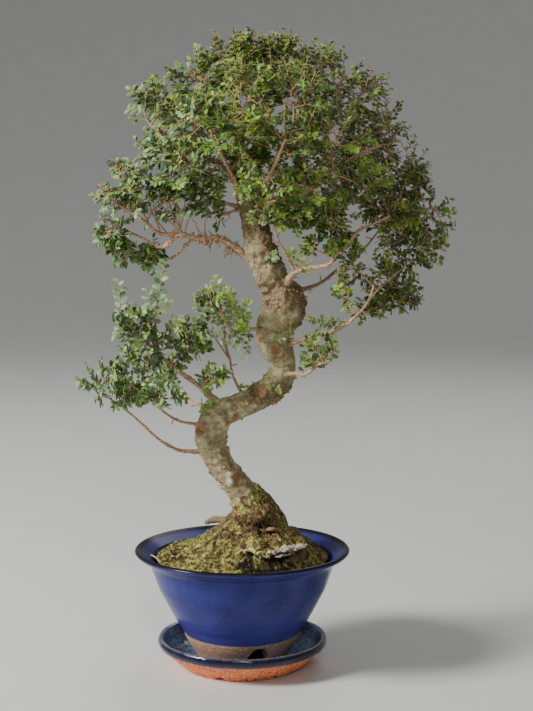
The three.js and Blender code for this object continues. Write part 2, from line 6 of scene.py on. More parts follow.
import bpy
import numpy as np
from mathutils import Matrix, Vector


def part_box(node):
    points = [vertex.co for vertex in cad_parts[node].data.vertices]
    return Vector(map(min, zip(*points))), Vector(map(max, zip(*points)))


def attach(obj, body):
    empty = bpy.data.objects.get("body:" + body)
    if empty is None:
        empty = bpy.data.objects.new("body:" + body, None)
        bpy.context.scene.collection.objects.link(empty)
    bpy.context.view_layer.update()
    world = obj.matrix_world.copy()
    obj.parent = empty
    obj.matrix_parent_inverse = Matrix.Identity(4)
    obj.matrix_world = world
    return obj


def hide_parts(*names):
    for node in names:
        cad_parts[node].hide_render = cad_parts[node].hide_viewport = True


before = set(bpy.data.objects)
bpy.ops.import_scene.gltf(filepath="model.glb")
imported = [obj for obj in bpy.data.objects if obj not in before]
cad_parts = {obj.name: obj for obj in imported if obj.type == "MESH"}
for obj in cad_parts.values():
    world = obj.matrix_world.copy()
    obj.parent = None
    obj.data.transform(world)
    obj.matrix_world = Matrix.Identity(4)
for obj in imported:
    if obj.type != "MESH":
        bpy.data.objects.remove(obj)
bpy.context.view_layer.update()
metres = 0.001


# An sRGB hex colour turned to linear light: each channel is a share of 255, divided by 12.92 where it is
# dark, and elsewhere raised by 0.055, divided by 1.055 and taken to the power 2.4
def linear(hexColour):
    parts = np.array([int(hexColour[i:i + 2], 16) / 255 for i in (1, 3, 5)])
    light = np.where(parts <= 0.04045, parts / 12.92, ((parts + 0.055) / 1.055) ** 2.4)
    return (*light.tolist(), 1.0)


# Gives a node's inputs their values: a dictionary by name or number, or a list in the sockets' order. A hex
# colour is turned to linear, and a socket or another node's main output is linked.
def feed(tree, node, inputs):
    for name, value in (inputs.items() if isinstance(inputs, dict) else enumerate(inputs)):
        if isinstance(value, bpy.types.Node):
            value = value.outputs[2 if value.bl_idname == "ShaderNodeMix" else 0]
        if isinstance(value, bpy.types.NodeSocket):
            tree.links.new(value, node.inputs[name])
        else:
            node.inputs[name].default_value = linear(value) if isinstance(value, str) else value


# Adds one node. ramp is a list of (position, hex colour). A MapRange takes its value, then the old low and
# high, then the new ones. A Mix of colours takes its share at 0 and the two colours at 6 and 7.
def addNode(tree, kind, inputs=(), ramp=None, **settings):
    node = tree.nodes.new("ShaderNode" + kind)
    for name, value in settings.items():
        setattr(node, name, value)
    feed(tree, node, inputs)
    if ramp:
        while len(node.color_ramp.elements) < len(ramp):
            node.color_ramp.elements.new(0.5)
        for element, (position, colour) in zip(node.color_ramp.elements, ramp):
            element.position = position
            element.color = linear(colour)
    return node


# A new material, its tree and its shader, whose sockets take the values given
def startMaterial(name, **values):
    material = bpy.data.materials.new(name)
    material.use_nodes = True
    tree = material.node_tree
    shader = tree.nodes["Principled BSDF"]
    feed(tree, shader, {socket.replace("_", " "): value for socket, value in values.items()})
    return material, tree, shader


# Places on the piece in millimetres, which every pattern reads that doesn't follow the piece's own surface
def placeInMm(tree):
    place = addNode(tree, "TexCoord").outputs["Object"]
    return addNode(tree, "VectorMath", [place, (1000, 1000, 1000)], operation="MULTIPLY")


# A matt material whose colour runs along a ramp with noise of one scale, raised a little where it is pale
def mottledMaterial(name, scale, ramp, relief=0.0004, **values):
    material, tree, shader = startMaterial(name, **values)
    grain = addNode(tree, "TexNoise",
                    {"Vector": placeInMm(tree), "Scale": scale, "Detail": 5.0, "Roughness": 0.65})
    colour = addNode(tree, "ValToRGB", [grain], ramp)
    bump = addNode(tree, "Bump", {"Height": grain, "Strength": 0.5, "Distance": relief})
    feed(tree, shader, {"Base Color": colour, "Normal": bump})
    return material


# Points are rows of x, y, z in millimetres, faces are blocks of quads or triangles. An edge between
# two sharp points keeps both its sides crisp.
def makePiece(name, points, faces, material, pointValues=None, smooth=True, sharpPoints=None):
    mesh = bpy.data.meshes.new(name)
    blocks = [np.asarray(block, np.int32) for block in faces if len(block)]
    corners = np.concatenate([block.ravel() for block in blocks])
    sizes = np.concatenate([np.full(len(block), block.shape[1], np.int32) for block in blocks])
    mesh.vertices.add(len(points))
    mesh.vertices.foreach_set("co", (np.asarray(points) * metres).astype(np.float32).ravel())
    mesh.loops.add(len(corners))
    mesh.loops.foreach_set("vertex_index", corners)
    mesh.polygons.add(len(sizes))
    mesh.polygons.foreach_set("loop_start", np.concatenate([[0], np.cumsum(sizes)[:-1]]).astype(np.int32))
    mesh.polygons.foreach_set("use_smooth", np.full(len(sizes), smooth))
    mesh.update(calc_edges=True)
    for key, value in (pointValues or {}).items():
        value = np.asarray(value, np.float32)
        kind, field = ("FLOAT_VECTOR", "vector") if value.ndim == 2 else ("FLOAT", "value")
        mesh.attributes.new(key, kind, "POINT").data.foreach_set(field, value.ravel())
    if sharpPoints is not None:
        ends = np.empty(2 * len(mesh.edges), np.int32)
        mesh.edges.foreach_get("vertices", ends)
        sharp = np.asarray(sharpPoints)[ends.reshape(-1, 2)].all(axis=1)
        mesh.attributes.new("sharp_edge", "BOOLEAN", "EDGE").data.foreach_set("value", sharp)
    mesh.materials.append(material)
    piece = bpy.data.objects.new(name, mesh)
    bpy.context.scene.collection.objects.link(piece)
    return piece


# Sets the piece on the root body, in place of the nodes it stands for, which it hides
def dress(piece, slot, *nodes):
    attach(piece, "root")
    if nodes:
        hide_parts(*nodes)


# Smooth value noise from -1 to 1: a random value at each corner of a lattice, eased between them
def noise(points, cell, seed=0):
    scaled = np.asarray(points, float) / cell
    corner = np.floor(scaled).astype(np.int64)
    part = scaled - corner
    part = part * part * (3 - 2 * part)
    total = np.zeros(scaled.shape[:-1])
    for step in np.ndindex(2, 2, 2):
        key = (corner + step) @ np.array([73856093, 19349663, 83492791]) + seed * 97531
        key = (key ^ (key >> 13)) * 1274126177
        value = ((key ^ (key >> 16)) & 0xFFFF) / 32767.5 - 1
        total += value * np.prod(np.where(step, part, 1 - part), axis=-1)
    return total


# Noise summed over octaves, each half the cell and a little over half the height of the last
def roughness(points, cell, octaves=3, seed=0):
    return sum(0.55 ** k * noise(points, cell / 2 ** k, seed + 11 * k) for k in range(octaves))


# 0 below low and 1 above high, and between them three times the share squared less twice its cube
def eased(value, low, high):
    share = np.clip((np.asarray(value, float) - low) / (high - low), 0, 1)
    return share * share * (3 - 2 * share)


# Each vector divided by its own length
def unit(vectors):
    return vectors / np.maximum(np.linalg.norm(vectors, axis=-1, keepdims=True), 1e-9)


# Even angles round a whole turn
def evenAngles(number):
    return np.arange(number) * 2 * math.pi / number


# A Catmull-Rom curve through rows of x, y, z and more, read off at even steps of its length
def smoothPath(rows, step):
    rows = np.asarray(rows, float)
    ends = np.concatenate([[2 * rows[0] - rows[1]], rows, [2 * rows[-1] - rows[-2]]])
    t = np.linspace(0, 1, 17)[:-1, None, None]
    a, b, c, d = (ends[k:len(ends) - 3 + k] for k in range(4))
    curve = 0.5 * (2 * b + (c - a) * t + (2 * a - 5 * b + 4 * c - d) * t ** 2
                   + (3 * b - a - 3 * c + d) * t ** 3)
    dense = np.concatenate([curve.transpose(1, 0, 2).reshape(-1, rows.shape[1]), rows[-1:]])
    run = np.concatenate([[0], np.cumsum(np.linalg.norm(np.diff(dense[:, :3], axis=0), axis=1))])
    even = np.linspace(0, run[-1], max(int(round(run[-1] / step)), 2) + 1)
    return np.stack([np.interp(even, run, column) for column in dense.T], axis=1), even


# Quads of a grid of rows by columns, the columns closed into a ring
def ringFaces(rows, columns, first=0):
    row, column = np.meshgrid(np.arange(rows - 1), np.arange(columns), indexing="ij")
    a = first + row * columns + column
    b = first + row * columns + (column + 1) % columns
    return np.stack([a, b, b + columns, a + columns], axis=-1).reshape(-1, 4)


# Triangles from a pole to each side of a ring
def fanFaces(pole, firstOfRing, columns, outward):
    a = firstOfRing + np.arange(columns)
    b = firstOfRing + (np.arange(columns) + 1) % columns
    fan = np.stack([np.full(columns, pole), a, b], axis=1)
    return fan if outward else fan[:, ::-1]


# A ring of radius r carried along a path in a frame that doesn't twist, closed by a pole at each end.
# relief(points, around, run, radius) gives how far each point stands out along its own radius.
def carriedRing(rows, sides, step, relief=None, tip=0.5):
    path, run = smoothPath(rows, step)
    centres, radii = path[:, :3], path[:, 3]
    tangents = unit(np.gradient(centres, axis=0))
    normals = np.empty_like(tangents)
    normal = np.array([0.1, 1.0, 0.2])  # the seam lies at the back
    for index, tangent in enumerate(tangents):
        normal = unit(normal - normal.dot(tangent) * tangent)
        normals[index] = normal
    binormals = np.cross(tangents, normals)
    shape = (len(run), sides)
    around = np.broadcast_to(evenAngles(sides), shape)
    along, thick = (np.broadcast_to(row[:, None], shape) for row in (run, radii))
    outward = normals[:, None] * np.cos(around)[..., None] + binormals[:, None] * np.sin(around)[..., None]
    points = centres[:, None] + outward * thick[..., None]
    if relief:
        points = points + outward * relief(points, around, along, thick)[..., None]
    place = np.stack([np.cos(around) * thick, np.sin(around) * thick, along], axis=-1)
    poles = np.stack([centres[0] - tangents[0] * radii[0] * tip,
                      centres[-1] + tangents[-1] * radii[-1] * tip])
    count = len(centres) * sides
    faces = ringFaces(len(centres), sides)
    fans = np.concatenate([fanFaces(count, 0, sides, False),
                           fanFaces(count + 1, count - sides, sides, True)])
    places = np.concatenate([place.reshape(-1, 3), [[0, 0, run[0]], [0, 0, run[-1]]]])
    return np.concatenate([points.reshape(-1, 3), poles]), faces, fans, places


# Many thin round stems at once: paths is stems by rings by 3, radii is stems by rings. Each ring lies
# square to its path, at its centre plus the radius times the cosine and sine of the angle round it.
def stems(paths, radii, sides):
    count, rings = radii.shape
    tangents = unit(np.gradient(paths, axis=1))
    whole = unit(paths[:, -1] - paths[:, 0])
    helper = np.where(np.abs(whole[:, 2:]) > 0.8, [[1.0, 0, 0]], [[0, 0, 1.0]])[:, None]
    normals = unit(np.cross(tangents, np.broadcast_to(helper, tangents.shape)))
    binormals = np.cross(tangents, normals)
    around = evenAngles(sides)
    cosine, sine = np.cos(around)[:, None], np.sin(around)[:, None]
    outward = normals[:, :, None] * cosine + binormals[:, :, None] * sine
    grid = paths[:, :, None] + outward * radii[:, :, None, None]
    poles = np.stack([paths[:, 0], paths[:, -1] + tangents[:, -1] * radii[:, -1:]], axis=1)
    points = np.concatenate([grid.reshape(count, -1, 3), poles], axis=1)
    each = rings * sides + 2
    first = (np.arange(count) * each)[:, None, None]
    quads = (ringFaces(rings, sides)[None] + first).reshape(-1, 4)
    caps = np.concatenate([fanFaces(each - 2, 0, sides, False),
                           fanFaces(each - 1, (rings - 1) * sides, sides, True)])
    thick = np.concatenate([np.repeat(radii, sides, axis=1), radii[:, [0, -1]]], axis=1)
    return points.reshape(-1, 3), quads, (caps[None] + first).reshape(-1, 3), thick.ravel()


# Joins several blocks of points, quads, triangles and values into one
def joined(blocks):
    starts = np.cumsum([0] + [len(block[0]) for block in blocks[:-1]])
    quads = np.concatenate([block[1] + start for block, start in zip(blocks, starts)])
    tris = np.concatenate([block[2] + start for block, start in zip(blocks, starts)])
    values = [np.concatenate([block[k] for block in blocks]) for k in range(3, len(blocks[0]))]
    return (np.concatenate([block[0] for block in blocks]), quads, tris, *values)


# A chain of straight walls with rounded corners: rows are radius, height and rounding. A corner is a
# parabola between two points that lie the rounding over the tangent of half the angle away from it.
def roundedProfile(corners, step, closed=False):
    corners = np.asarray(corners, float)
    count = len(corners)
    line = []
    for index in range(count):
        here, rounding = corners[index, :2], corners[index, 2]
        if not closed and index in (0, count - 1):
            line.append(here[None])
            continue
        before, after = corners[index - 1, :2], corners[(index + 1) % count, :2]
        toBefore, toAfter = unit(before - here), unit(after - here)
        half = math.acos(float(np.clip(toBefore @ toAfter, -0.9999, 0.9999))) / 2
        room = 0.48 * min(np.linalg.norm(before - here), np.linalg.norm(after - here))
        reach = min(rounding / math.tan(half), room)
        t = np.linspace(0, 1, max(int(reach * 2 / step), 4))[:, None]
        start, end = here + toBefore * reach, here + toAfter * reach
        line.append((1 - t) ** 2 * start + 2 * t * (1 - t) * here + t ** 2 * end)
    line = np.concatenate(line + ([line[0][:1]] if closed else []))
    gaps = np.linalg.norm(np.diff(line, axis=0), axis=1)
    parts = [np.linspace(line[k], line[k + 1], max(int(gap / step), 1) + 1)[:-1]
             for k, gap in enumerate(gaps) if gap > 1e-6]
    return np.concatenate(parts if closed else parts + [line[-1:]])


# The profile turned about Z: x and y are the radius times the cosine and sine of each angle. shape(radius,
# height, angle) may change the radius and the height.
def turned(profile, angle, shape, closed=False):
    steps = len(angle)
    radius, height = (np.broadcast_to(profile[:, k:k + 1], (len(profile), steps)) for k in (0, 1))
    radius, height = shape(radius, height, np.broadcast_to(angle, radius.shape))
    points = np.stack([radius * np.cos(angle), radius * np.sin(angle), height], axis=-1)
    if closed:
        quads = ringFaces(len(profile) + 1, steps) % (len(profile) * steps)
        return points.reshape(-1, 3), quads, np.zeros((0, 3), int)
    body = points[1:-1].reshape(-1, 3)
    poles = np.stack([points[0, 0] * [0, 0, 1], points[-1, 0] * [0, 0, 1]])
    count = len(body)
    fans = np.concatenate([fanFaces(count, 0, steps, False),
                           fanFaces(count + 1, count - steps, steps, True)])
    return np.concatenate([body, poles]), ringFaces(len(profile) - 2, steps), fans


print("tools ready")


# Saucer: a thrown dish, its wall a chain of straight runs with rounded corners turned about the middle
saucer = {
    "profile": [(0, 0.3, 0), (60, 0.3, 1), (64, 0.3, 1.5), (70, 5, 2), (84, 19, 5), (89.4, 22, 2),
                (91.4, 27, 2.6), (89.6, 32, 2.2), (85.4, 30.4, 1.5), (80, 19, 6), (72, 12, 8),
                (64, 10, 3), (0, 10, 0)],
    "steps": 220,
    # each pair is where something starts and where it is complete
    "bareBeyond": (55, 64),
    "glazeAgain": (14, 21),
    "chipsEnd": (2, 7),
    "chipDepth": 2.4,
    "outerWall": (87.5, 90.5),
    "violetBelow": (28.6, 26.4),
    "rimCrest": (30.4, 32.0),
    "glazeEnds": (23.6, 22.8),
}


# The radius carries noise, more where the foot's clay is bare, and the foot's lower edge is chipped: where
# the noise is high, the edge moves inwards and up
def saucerShape(radius, height, angle):
    place = np.stack([radius * np.cos(angle), radius * np.sin(angle), height * 2], axis=-1)
    bare = eased(radius, *saucer["bareBeyond"]) * (1 - eased(height, *saucer["glazeAgain"]))
    lift = 0.25 * roughness(place, 9, 3, 5) + bare * 0.6 * roughness(place, 4, 3, 6)
    chip = saucer["chipDepth"] * eased(roughness(place * [1, 1, 0], 5, 3, 8), 0.0, 0.8) * bare
    chip = chip * (1 - eased(height, *saucer["chipsEnd"]))
    offMiddle = radius > 20
    raised = 0.8 * chip + 0.12 * noise(place, 14, 7) * offMiddle
    return radius + lift * offMiddle - 0.2 - chip, height + raised


saucerTurn = evenAngles(saucer["steps"])
points, quads, tris = turned(roundedProfile(saucer["profile"], 2.5), saucerTurn, saucerShape)

# Speckled glaze: blue-black with cloudy blue flecks where it pools, violet under the rim, thin and brown
# where it breaks over the rim, and bare orange clay below the glaze line
saucerGlaze, tree, shader = startMaterial("speckled blue glaze", Specular_IOR_Level=0.45)
place = placeInMm(tree)
height = addNode(tree, "SeparateXYZ", [place]).outputs["Z"]
level = addNode(tree, "VectorMath", [place, (1, 1, 0)], operation="MULTIPLY")
radius = addNode(tree, "VectorMath", [level], operation="LENGTH").outputs["Value"]
cloud = addNode(tree, "TexNoise", {"Vector": place, "Scale": 0.22, "Detail": 5.0, "Roughness": 0.7})
flecks = addNode(tree, "TexNoise", {"Vector": place, "Scale": 0.75, "Detail": 3.0, "Roughness": 0.7})
grit = addNode(tree, "TexNoise", {"Vector": place, "Scale": 0.55, "Detail": 5.0, "Roughness": 0.65})
pool = addNode(tree, "ValToRGB", [cloud],
               [(0.34, "#222a44"), (0.48, "#42547f"), (0.6, "#7d96c0"), (0.74, "#435272")])
fleck = addNode(tree, "ValToRGB", [flecks],
                [(0.4, "#131624"), (0.5, "#3a4c78"), (0.6, "#7c94bc"), (0.7, "#c2cbda")])
wall = addNode(tree, "ValToRGB", [flecks],
               [(0.4, "#0b0a12"), (0.58, "#15142a"), (0.68, "#2c3560"), (0.76, "#7b86ac")])
clay = addNode(tree, "ValToRGB", [grit],
               [(0.32, "#6a3018"), (0.42, "#c86434"), (0.52, "#ff9055"), (0.64, "#ffc49a")])
wobble = addNode(tree, "Math", [cloud, 6.0, height], operation="MULTIPLY_ADD")
outer = addNode(tree, "MapRange", [radius, *saucer["outerWall"]])
belowRim = addNode(tree, "MapRange", [wobble, *saucer["violetBelow"]])
violet = addNode(tree, "Math", [outer, belowRim], operation="MULTIPLY")
crest = addNode(tree, "MapRange", [height, *saucer["rimCrest"]])
thinGlaze = addNode(tree, "MapRange", [flecks, 0.38, 0.54])
broken = addNode(tree, "Math", [crest, thinGlaze], operation="MULTIPLY")
glazeLine = addNode(tree, "MapRange", [wobble, *saucer["glazeEnds"]])
footWall = addNode(tree, "Math", [height, 0.95, 62.0], operation="MULTIPLY_ADD")
outside = addNode(tree, "Math", [footWall, radius], operation="LESS_THAN")
footSide = addNode(tree, "Math", [glazeLine, outside], operation="MULTIPLY")
underside = addNode(tree, "Math", [height, 4.5], operation="LESS_THAN")
bare = addNode(tree, "Math", [footSide, underside], operation="MAXIMUM")
colour = pool
for share, over in ((0.5, fleck), (outer, wall), (violet, "#43304e"), (broken, "#a27c6c"), (bare, clay)):
    colour = addNode(tree, "Mix", {0: share, 6: colour, 7: over}, data_type="RGBA")
sheen = addNode(tree, "MapRange", [bare, 0.0, 1.0, 0.12, 0.85])
pits = addNode(tree, "Bump", {"Height": flecks, "Strength": 0.18, "Distance": 0.0006})
feed(tree, shader, {"Base Color": colour, "Roughness": sheen, "Normal": pits})
dress(makePiece("saucer_dish", points, [quads, tris], saucerGlaze), "saucer", "saucer")

# Pot: a flared bowl on a foot ring. The wall is a closed chain of runs with rounded corners turned about
# the middle, open at the drain hole. The glaze ends a little higher at both sides than in front.
pot = {
    "profile": [(47.5, 10.3, 0.8), (59, 27.5, 6), (62.2, 34, 2), (63.2, 38, 2), (67, 46, 8),
                (71.5, 52, 8), (79, 66, 14), (90, 87, 18), (99, 114, 12), (112.6, 122.4, 3),
                (115.6, 125.4, 1.6), (112.6, 128.2, 1.8), (107.6, 124.8, 2.5), (97, 119, 4), (87, 96, 16),
                (74, 64, 18), (64, 47, 10), (50, 39, 5), (9.2, 39, 1), (9.2, 33, 1), (39.5, 33, 4),
                (39.5, 10.3, 0.8)],
    "outerRows": 9,
    "foot": 10.3,
    "footRadius": 62,
    "notchAngles": [-72, 48, 168],
    "notchWidth": 23,
    "notchHeight": 23.5,
    "archPower": 2.3,
    "glazeFrom": 36.4,
    "glazeRise": 2.2,
    "glazeThickness": 0.55,
    "throwingRing": 7.5,
    "lip": (125.4, 127.2),
    "steps": 180,
}


# The wall stands out by throwing rings, a sine of the height, and by the glaze above the glaze line.
# In each notch the ring's underside rises to a blunt arch, whose height and half width to a power add up to
# one, and follows the wall's slope.
def potShape(radius, height, angle):
    wall = np.array(pot["profile"][:pot["outerRows"]])
    place = np.stack([radius * np.cos(angle), radius * np.sin(angle), height], axis=-1)
    # a slanting line between the wall's two sides tells its outside
    outside = (radius > 45) & (height < 123) & (radius > 47 + (height - 10) * 0.42)
    glazeLine = pot["glazeFrom"] + pot["glazeRise"] * np.cos(angle) ** 2
    glazed = eased(height - glazeLine, -0.6, 0.9)
    wave = np.sin(height * 2 * math.pi / pot["throwingRing"] + 0.6 * np.sin(angle))
    throwing = 0.16 * wave + 0.22 * noise(place, 30, 3)
    bareGrain = 0.12 * noise(place, 5, 4) * (1 - glazed)
    radius = radius + outside * (pot["glazeThickness"] * glazed - 0.3 + throwing * glazed + bareGrain)
    for middle in np.radians(pot["notchAngles"]):
        turn = (angle - middle + math.pi) % (2 * math.pi) - math.pi
        across = np.clip(np.abs(radius * np.sin(turn)) / (pot["notchWidth"] / 2), 0, 1)
        arch = pot["foot"] + pot["notchHeight"] * (1 - across ** pot["archPower"]) ** (1 / pot["archPower"])
        low = (np.abs(turn) < 0.5) & (across < 1) & (height < arch) & (radius > 30)
        lifted = np.where(low, arch - 0.02 * (arch - height), height)
        wallOver, wallHere = (np.interp(level, wall[:, 1], wall[:, 0]) for level in (lifted, height))
        radius, height = radius + outside * (wallOver - wallHere), lifted
    return radius, height


notchTurns = [math.radians(middle) + np.linspace(-0.2, 0.2, 40) for middle in pot["notchAngles"]]
potTurn = np.sort(np.concatenate([evenAngles(pot["steps"]) + 0.001, *notchTurns]) % (2 * math.pi))
points, quads, tris = turned(roundedProfile(pot["profile"], 4.4, True), potTurn, potShape, True)

# Cobalt glaze: poured clear and deep, cloudy, pinholed, and brown-black where it runs thin over the lip. A
# painted violet sheen lies towards the left, and painted violet light lifts the lower wall, which faces
# down into shade. Below the glaze line the wall is bare buff clay.
potGlaze, tree, shader = startMaterial("cobalt glaze", Specular_IOR_Level=0.18)
place = placeInMm(tree)
axes = addNode(tree, "SeparateXYZ", [place])
height = axes.outputs["Z"]
cloud = addNode(tree, "TexNoise", {"Vector": place, "Scale": 0.035, "Detail": 4.0, "Roughness": 0.55})
runs = addNode(tree, "TexNoise", {"Vector": place, "Scale": 0.3, "Detail": 3.0})
grit = addNode(tree, "TexNoise", {"Vector": place, "Scale": 0.5, "Detail": 5.0})
deep = addNode(tree, "ValToRGB", [cloud], [(0.3, "#232660"), (0.5, "#2b2f6c"), (0.7, "#343979")])
clay = addNode(tree, "ValToRGB", [grit], [(0.25, "#7f6150"), (0.5, "#a8856e"), (0.75, "#cbab94")])
# painted light: a violet sheen towards the left, and a lighter violet on the lower wall, where it faces
# down
left = addNode(tree, "MapRange", [axes.outputs["X"], -20.0, -110.0, 0.0, 0.12])
low = addNode(tree, "MapRange", [height, 82.0, 42.0, 0.0, 0.6])
paintedLight = addNode(tree, "Math", [left, low], operation="MAXIMUM")
holes = addNode(tree, "TexVoronoi", {"Vector": place, "Scale": 0.09, "Randomness": 1.0})
pinhole = addNode(tree, "MapRange", [holes.outputs["Distance"], 0.075, 0.035, 0.0, 0.4])
lipHeight = addNode(tree, "Math", [runs, 2.4, height], operation="MULTIPLY_ADD")
lip = addNode(tree, "MapRange", [lipHeight, *pot["lip"], 0.0, 0.95])
sideways = addNode(tree, "Math", [axes.outputs["X"], axes.outputs["X"]], operation="MULTIPLY")
drop = -pot["glazeRise"] / pot["footRadius"] ** 2
lineHeight = addNode(tree, "Math", [sideways, drop, height], operation="MULTIPLY_ADD")
glazeLine = addNode(tree, "Math", [runs, 1.2, lineHeight], operation="MULTIPLY_ADD")
bare = addNode(tree, "MapRange", [glazeLine, pot["glazeFrom"] + 1.2, pot["glazeFrom"] + 0.8])
colour = deep
for share, over in ((paintedLight, "#4a4690"), (pinhole, "#8f93b8"), (lip, "#1d1512"), (bare, clay)):
    colour = addNode(tree, "Mix", {0: share, 6: colour, 7: over}, data_type="RGBA")
sheen = addNode(tree, "MapRange", [bare, 0.0, 1.0, 0.2, 0.8])
ripple = addNode(tree, "Bump", {"Height": runs, "Strength": 0.08, "Distance": 0.001})
feed(tree, shader, {"Base Color": colour, "Roughness": sheen, "Normal": ripple})
dress(makePiece("pot_bowl", points, [quads, tris], potGlaze), "pot", "pot")
print("pot and saucer ready")

# Moss: a closed sheet over the mound. Its top is the mound's height plus soft cushions, a collar that
# climbs the foot of the trunk, and a terrace that breaks off at the crusted ridge in front. Its underside
# is the same surface, lower.
moss = {
    "edge": 91.8,
    "wall": 92.5,
    "peak": 16,
    "trunkFoot": 20,
    "rise": 29,
    "soil": 117,
    "thickness": 4.2,
    "sheet": 3.0,
    "collar": 30,
    "collarWidth": 13,
    "terrace": 9,
    "ridge": [(-6, -56), (2, -59), (14, -66), (24, -70), (36, -66), (54, -54), (66, -40), (76, -24)],
    "rings": 72,
    "steps": 260,
    "fibres": 14000,
    "seed": 7311,
}


# How far a place lies from the foot of the trunk
def beyondFoot(x, y):
    return np.hypot(x - moss["peak"], y) - moss["trunkFoot"]


# The mound climbs from the pot's wall to the foot of the trunk along an eased curve, with low swells on it
def moundHeight(x, y):
    fromTrunk = np.maximum(beyondFoot(x, y), 0)
    fromWall = np.maximum(moss["wall"] - np.hypot(x, y), 0)
    climb = eased(fromWall / (fromWall + fromTrunk + 1e-6), 0, 1)
    swell = 1.2 * np.sin(x / 13 + y / 21) * np.cos(y / 12 - x / 27) * climb
    return moss["soil"] + moss["rise"] * climb ** 1.15 + swell


# How far a place lies behind the ridge's line, and how much of the ridge is there at that x
def behindRidge(x, y):
    line = np.array(moss["ridge"], float)
    ragged = 1.6 * noise(np.stack([x, y * 0, x * 0], axis=-1), 7, 23)
    return y - np.interp(x, line[:, 0], line[:, 1]) - ragged, eased(x, -4, 14) * (1 - eased(x, 64, 76))


# Cushions of three sizes that thin to the edge, a collar that dies away from the trunk, the terrace behind
# the ridge, and a groove round the trunk's foot in front
def mossTop(x, y):
    place = np.stack([x, y, np.zeros_like(x)], axis=-1)
    cushions = (1.7 * roughness(place, 19, 3, 21) + 2.2 * (0.4 - np.abs(roughness(place, 7, 2, 22)))
                + noise(place, 3, 25))
    edge = 1 - eased(np.hypot(x, y), 82, moss["edge"])
    fromTrunk = np.maximum(beyondFoot(x, y), 0)
    inFront = eased(-y, 4, 20) * eased(x, -22, -6)
    collar = moss["collar"] * np.exp(-fromTrunk / moss["collarWidth"])
    collar = collar * (1 - 0.8 * np.maximum(eased(x, 8, 40), inFront))
    behind, along = behindRidge(x, y)
    terrace = moss["terrace"] * eased(behind, -1.6, 1.4) * (1 - eased(behind, 16, 48)) * along
    groove = 5 * np.exp(-((fromTrunk - 13 - 2 * noise(place, 9, 24)) / 3) ** 2)
    groove = groove * eased(-y, 8, 22) * eased(x, -20, -8)
    return moundHeight(x, y) + 0.8 + (moss["thickness"] - 0.8 + cushions) * edge + collar + terrace - groove


ringRadii = moss["edge"] * np.concatenate([np.linspace(0.01, 1, moss["rings"]), [0.99, 0.7, 0.35, 0.02]])
around = evenAngles(moss["steps"])
x, y = ringRadii[:, None] * np.cos(around), ringRadii[:, None] * np.sin(around)
under = np.concatenate([np.zeros(moss["rings"]), np.full(4, moss["sheet"])])[:, None]
grid = np.stack([x, y, mossTop(x, y) - under], axis=-1)
summit = mossTop(np.zeros(1), np.zeros(1))[0]
count = grid.shape[0] * moss["steps"]
points = np.concatenate([grid.reshape(-1, 3), [[0, 0, summit], [0, 0, summit - moss["sheet"]]]])
quads = ringFaces(grid.shape[0], moss["steps"])[:, ::-1]
fans = np.concatenate([fanFaces(count, 0, moss["steps"], True),
                       fanFaces(count + 1, count - moss["steps"], moss["steps"], False)])


# Dark earth colour on the face below the ridge and in small random gaps, and painted shade in the groove
# round the trunk's foot and in the clefts between the cushions
def bareEarthAndShade(points):
    x, y = points[:, 0], points[:, 1]
    behind, along = behindRidge(x, y)
    cliff = eased(behind, -28, -20) * (1 - eased(behind, 0.2, 1.2)) * along * (1 - 0.8 * eased(x, 44, 60))
    # painted shade in the groove round the trunk's foot in front
    hollowShade = np.exp(-((beyondFoot(x, y) - 12) / 4) ** 2) * eased(-y, 8, 22) * eased(x, -20, -8)
    gaps = eased(roughness(points * [1, 1, 0], 10, 3, 26), 0.3, 0.75)
    # painted shade in the clefts between the cushions, from the same noise that shapes them
    cleftShade = eased(np.abs(roughness(points * [1, 1, 0], 7, 2, 22)), 0.3, 0.75)
    return np.clip(1.4 * cliff + 1.2 * hollowShade + 0.7 * gaps + 0.6 * cleftShade, 0, 1)


# Browner to the right and near the trunk's foot, yellow-green on the left and in front
def mossBrown(points):
    nearTrunk = np.exp(-np.hypot(points[:, 0] - 12, points[:, 1]) / 34)
    drift = eased(points[:, 0], 5, 80) * 0.55 + 0.45 * nearTrunk
    return np.clip(drift + 0.1 + 0.6 * roughness(points, 14, 3, 27), 0, 1)


# Moss: felted threads, so matt and deep, yellow-green to olive with brown dead patches, and dark earth
# where it has worn off; the same dark colour is painted shade in the groove and the clefts
mossGreen, tree, shader = startMaterial("moss", Roughness=0.9, Specular_IOR_Level=0.2)
place = placeInMm(tree)
earthAndShadeMark, brownMark = (addNode(tree, "Attribute", attribute_name=name).outputs["Fac"]
                        for name in ("earthAndShade", "brown"))
felt = addNode(tree, "TexNoise", {"Vector": place, "Scale": 0.72, "Detail": 6.0, "Roughness": 0.75})
# a coarse noise darkens patches as painted shade between the moss clumps
clumpShade = addNode(tree, "TexNoise", {"Vector": place, "Scale": 0.17, "Detail": 2.0})
tuft = addNode(tree, "Math", [clumpShade, 0.45, felt], operation="MULTIPLY_ADD")
felted = addNode(tree, "Math", [tuft, 0.225], operation="SUBTRACT")
green = addNode(tree, "ValToRGB", [felted],
                [(0.38, "#201d0c"), (0.465, "#66622a"), (0.53, "#aca652"), (0.62, "#eee79a")])
dead = addNode(tree, "ValToRGB", [felted],
               [(0.36, "#261b12"), (0.46, "#6a5032"), (0.55, "#a58559"), (0.66, "#d4bd90")])
darkSoilAndShade = addNode(tree, "ValToRGB", [felt],
                   [(0.3, "#0c0906"), (0.5, "#1c140d"), (0.62, "#33271a"), (0.78, "#5a4935")])
patchy = addNode(tree, "Mix", {0: brownMark, 6: green, 7: dead}, data_type="RGBA")
earthy = addNode(tree, "Mix", {0: earthAndShadeMark, 6: patchy, 7: darkSoilAndShade}, data_type="RGBA")
pile = addNode(tree, "Bump", {"Height": felt, "Strength": 0.8, "Distance": 0.0015})
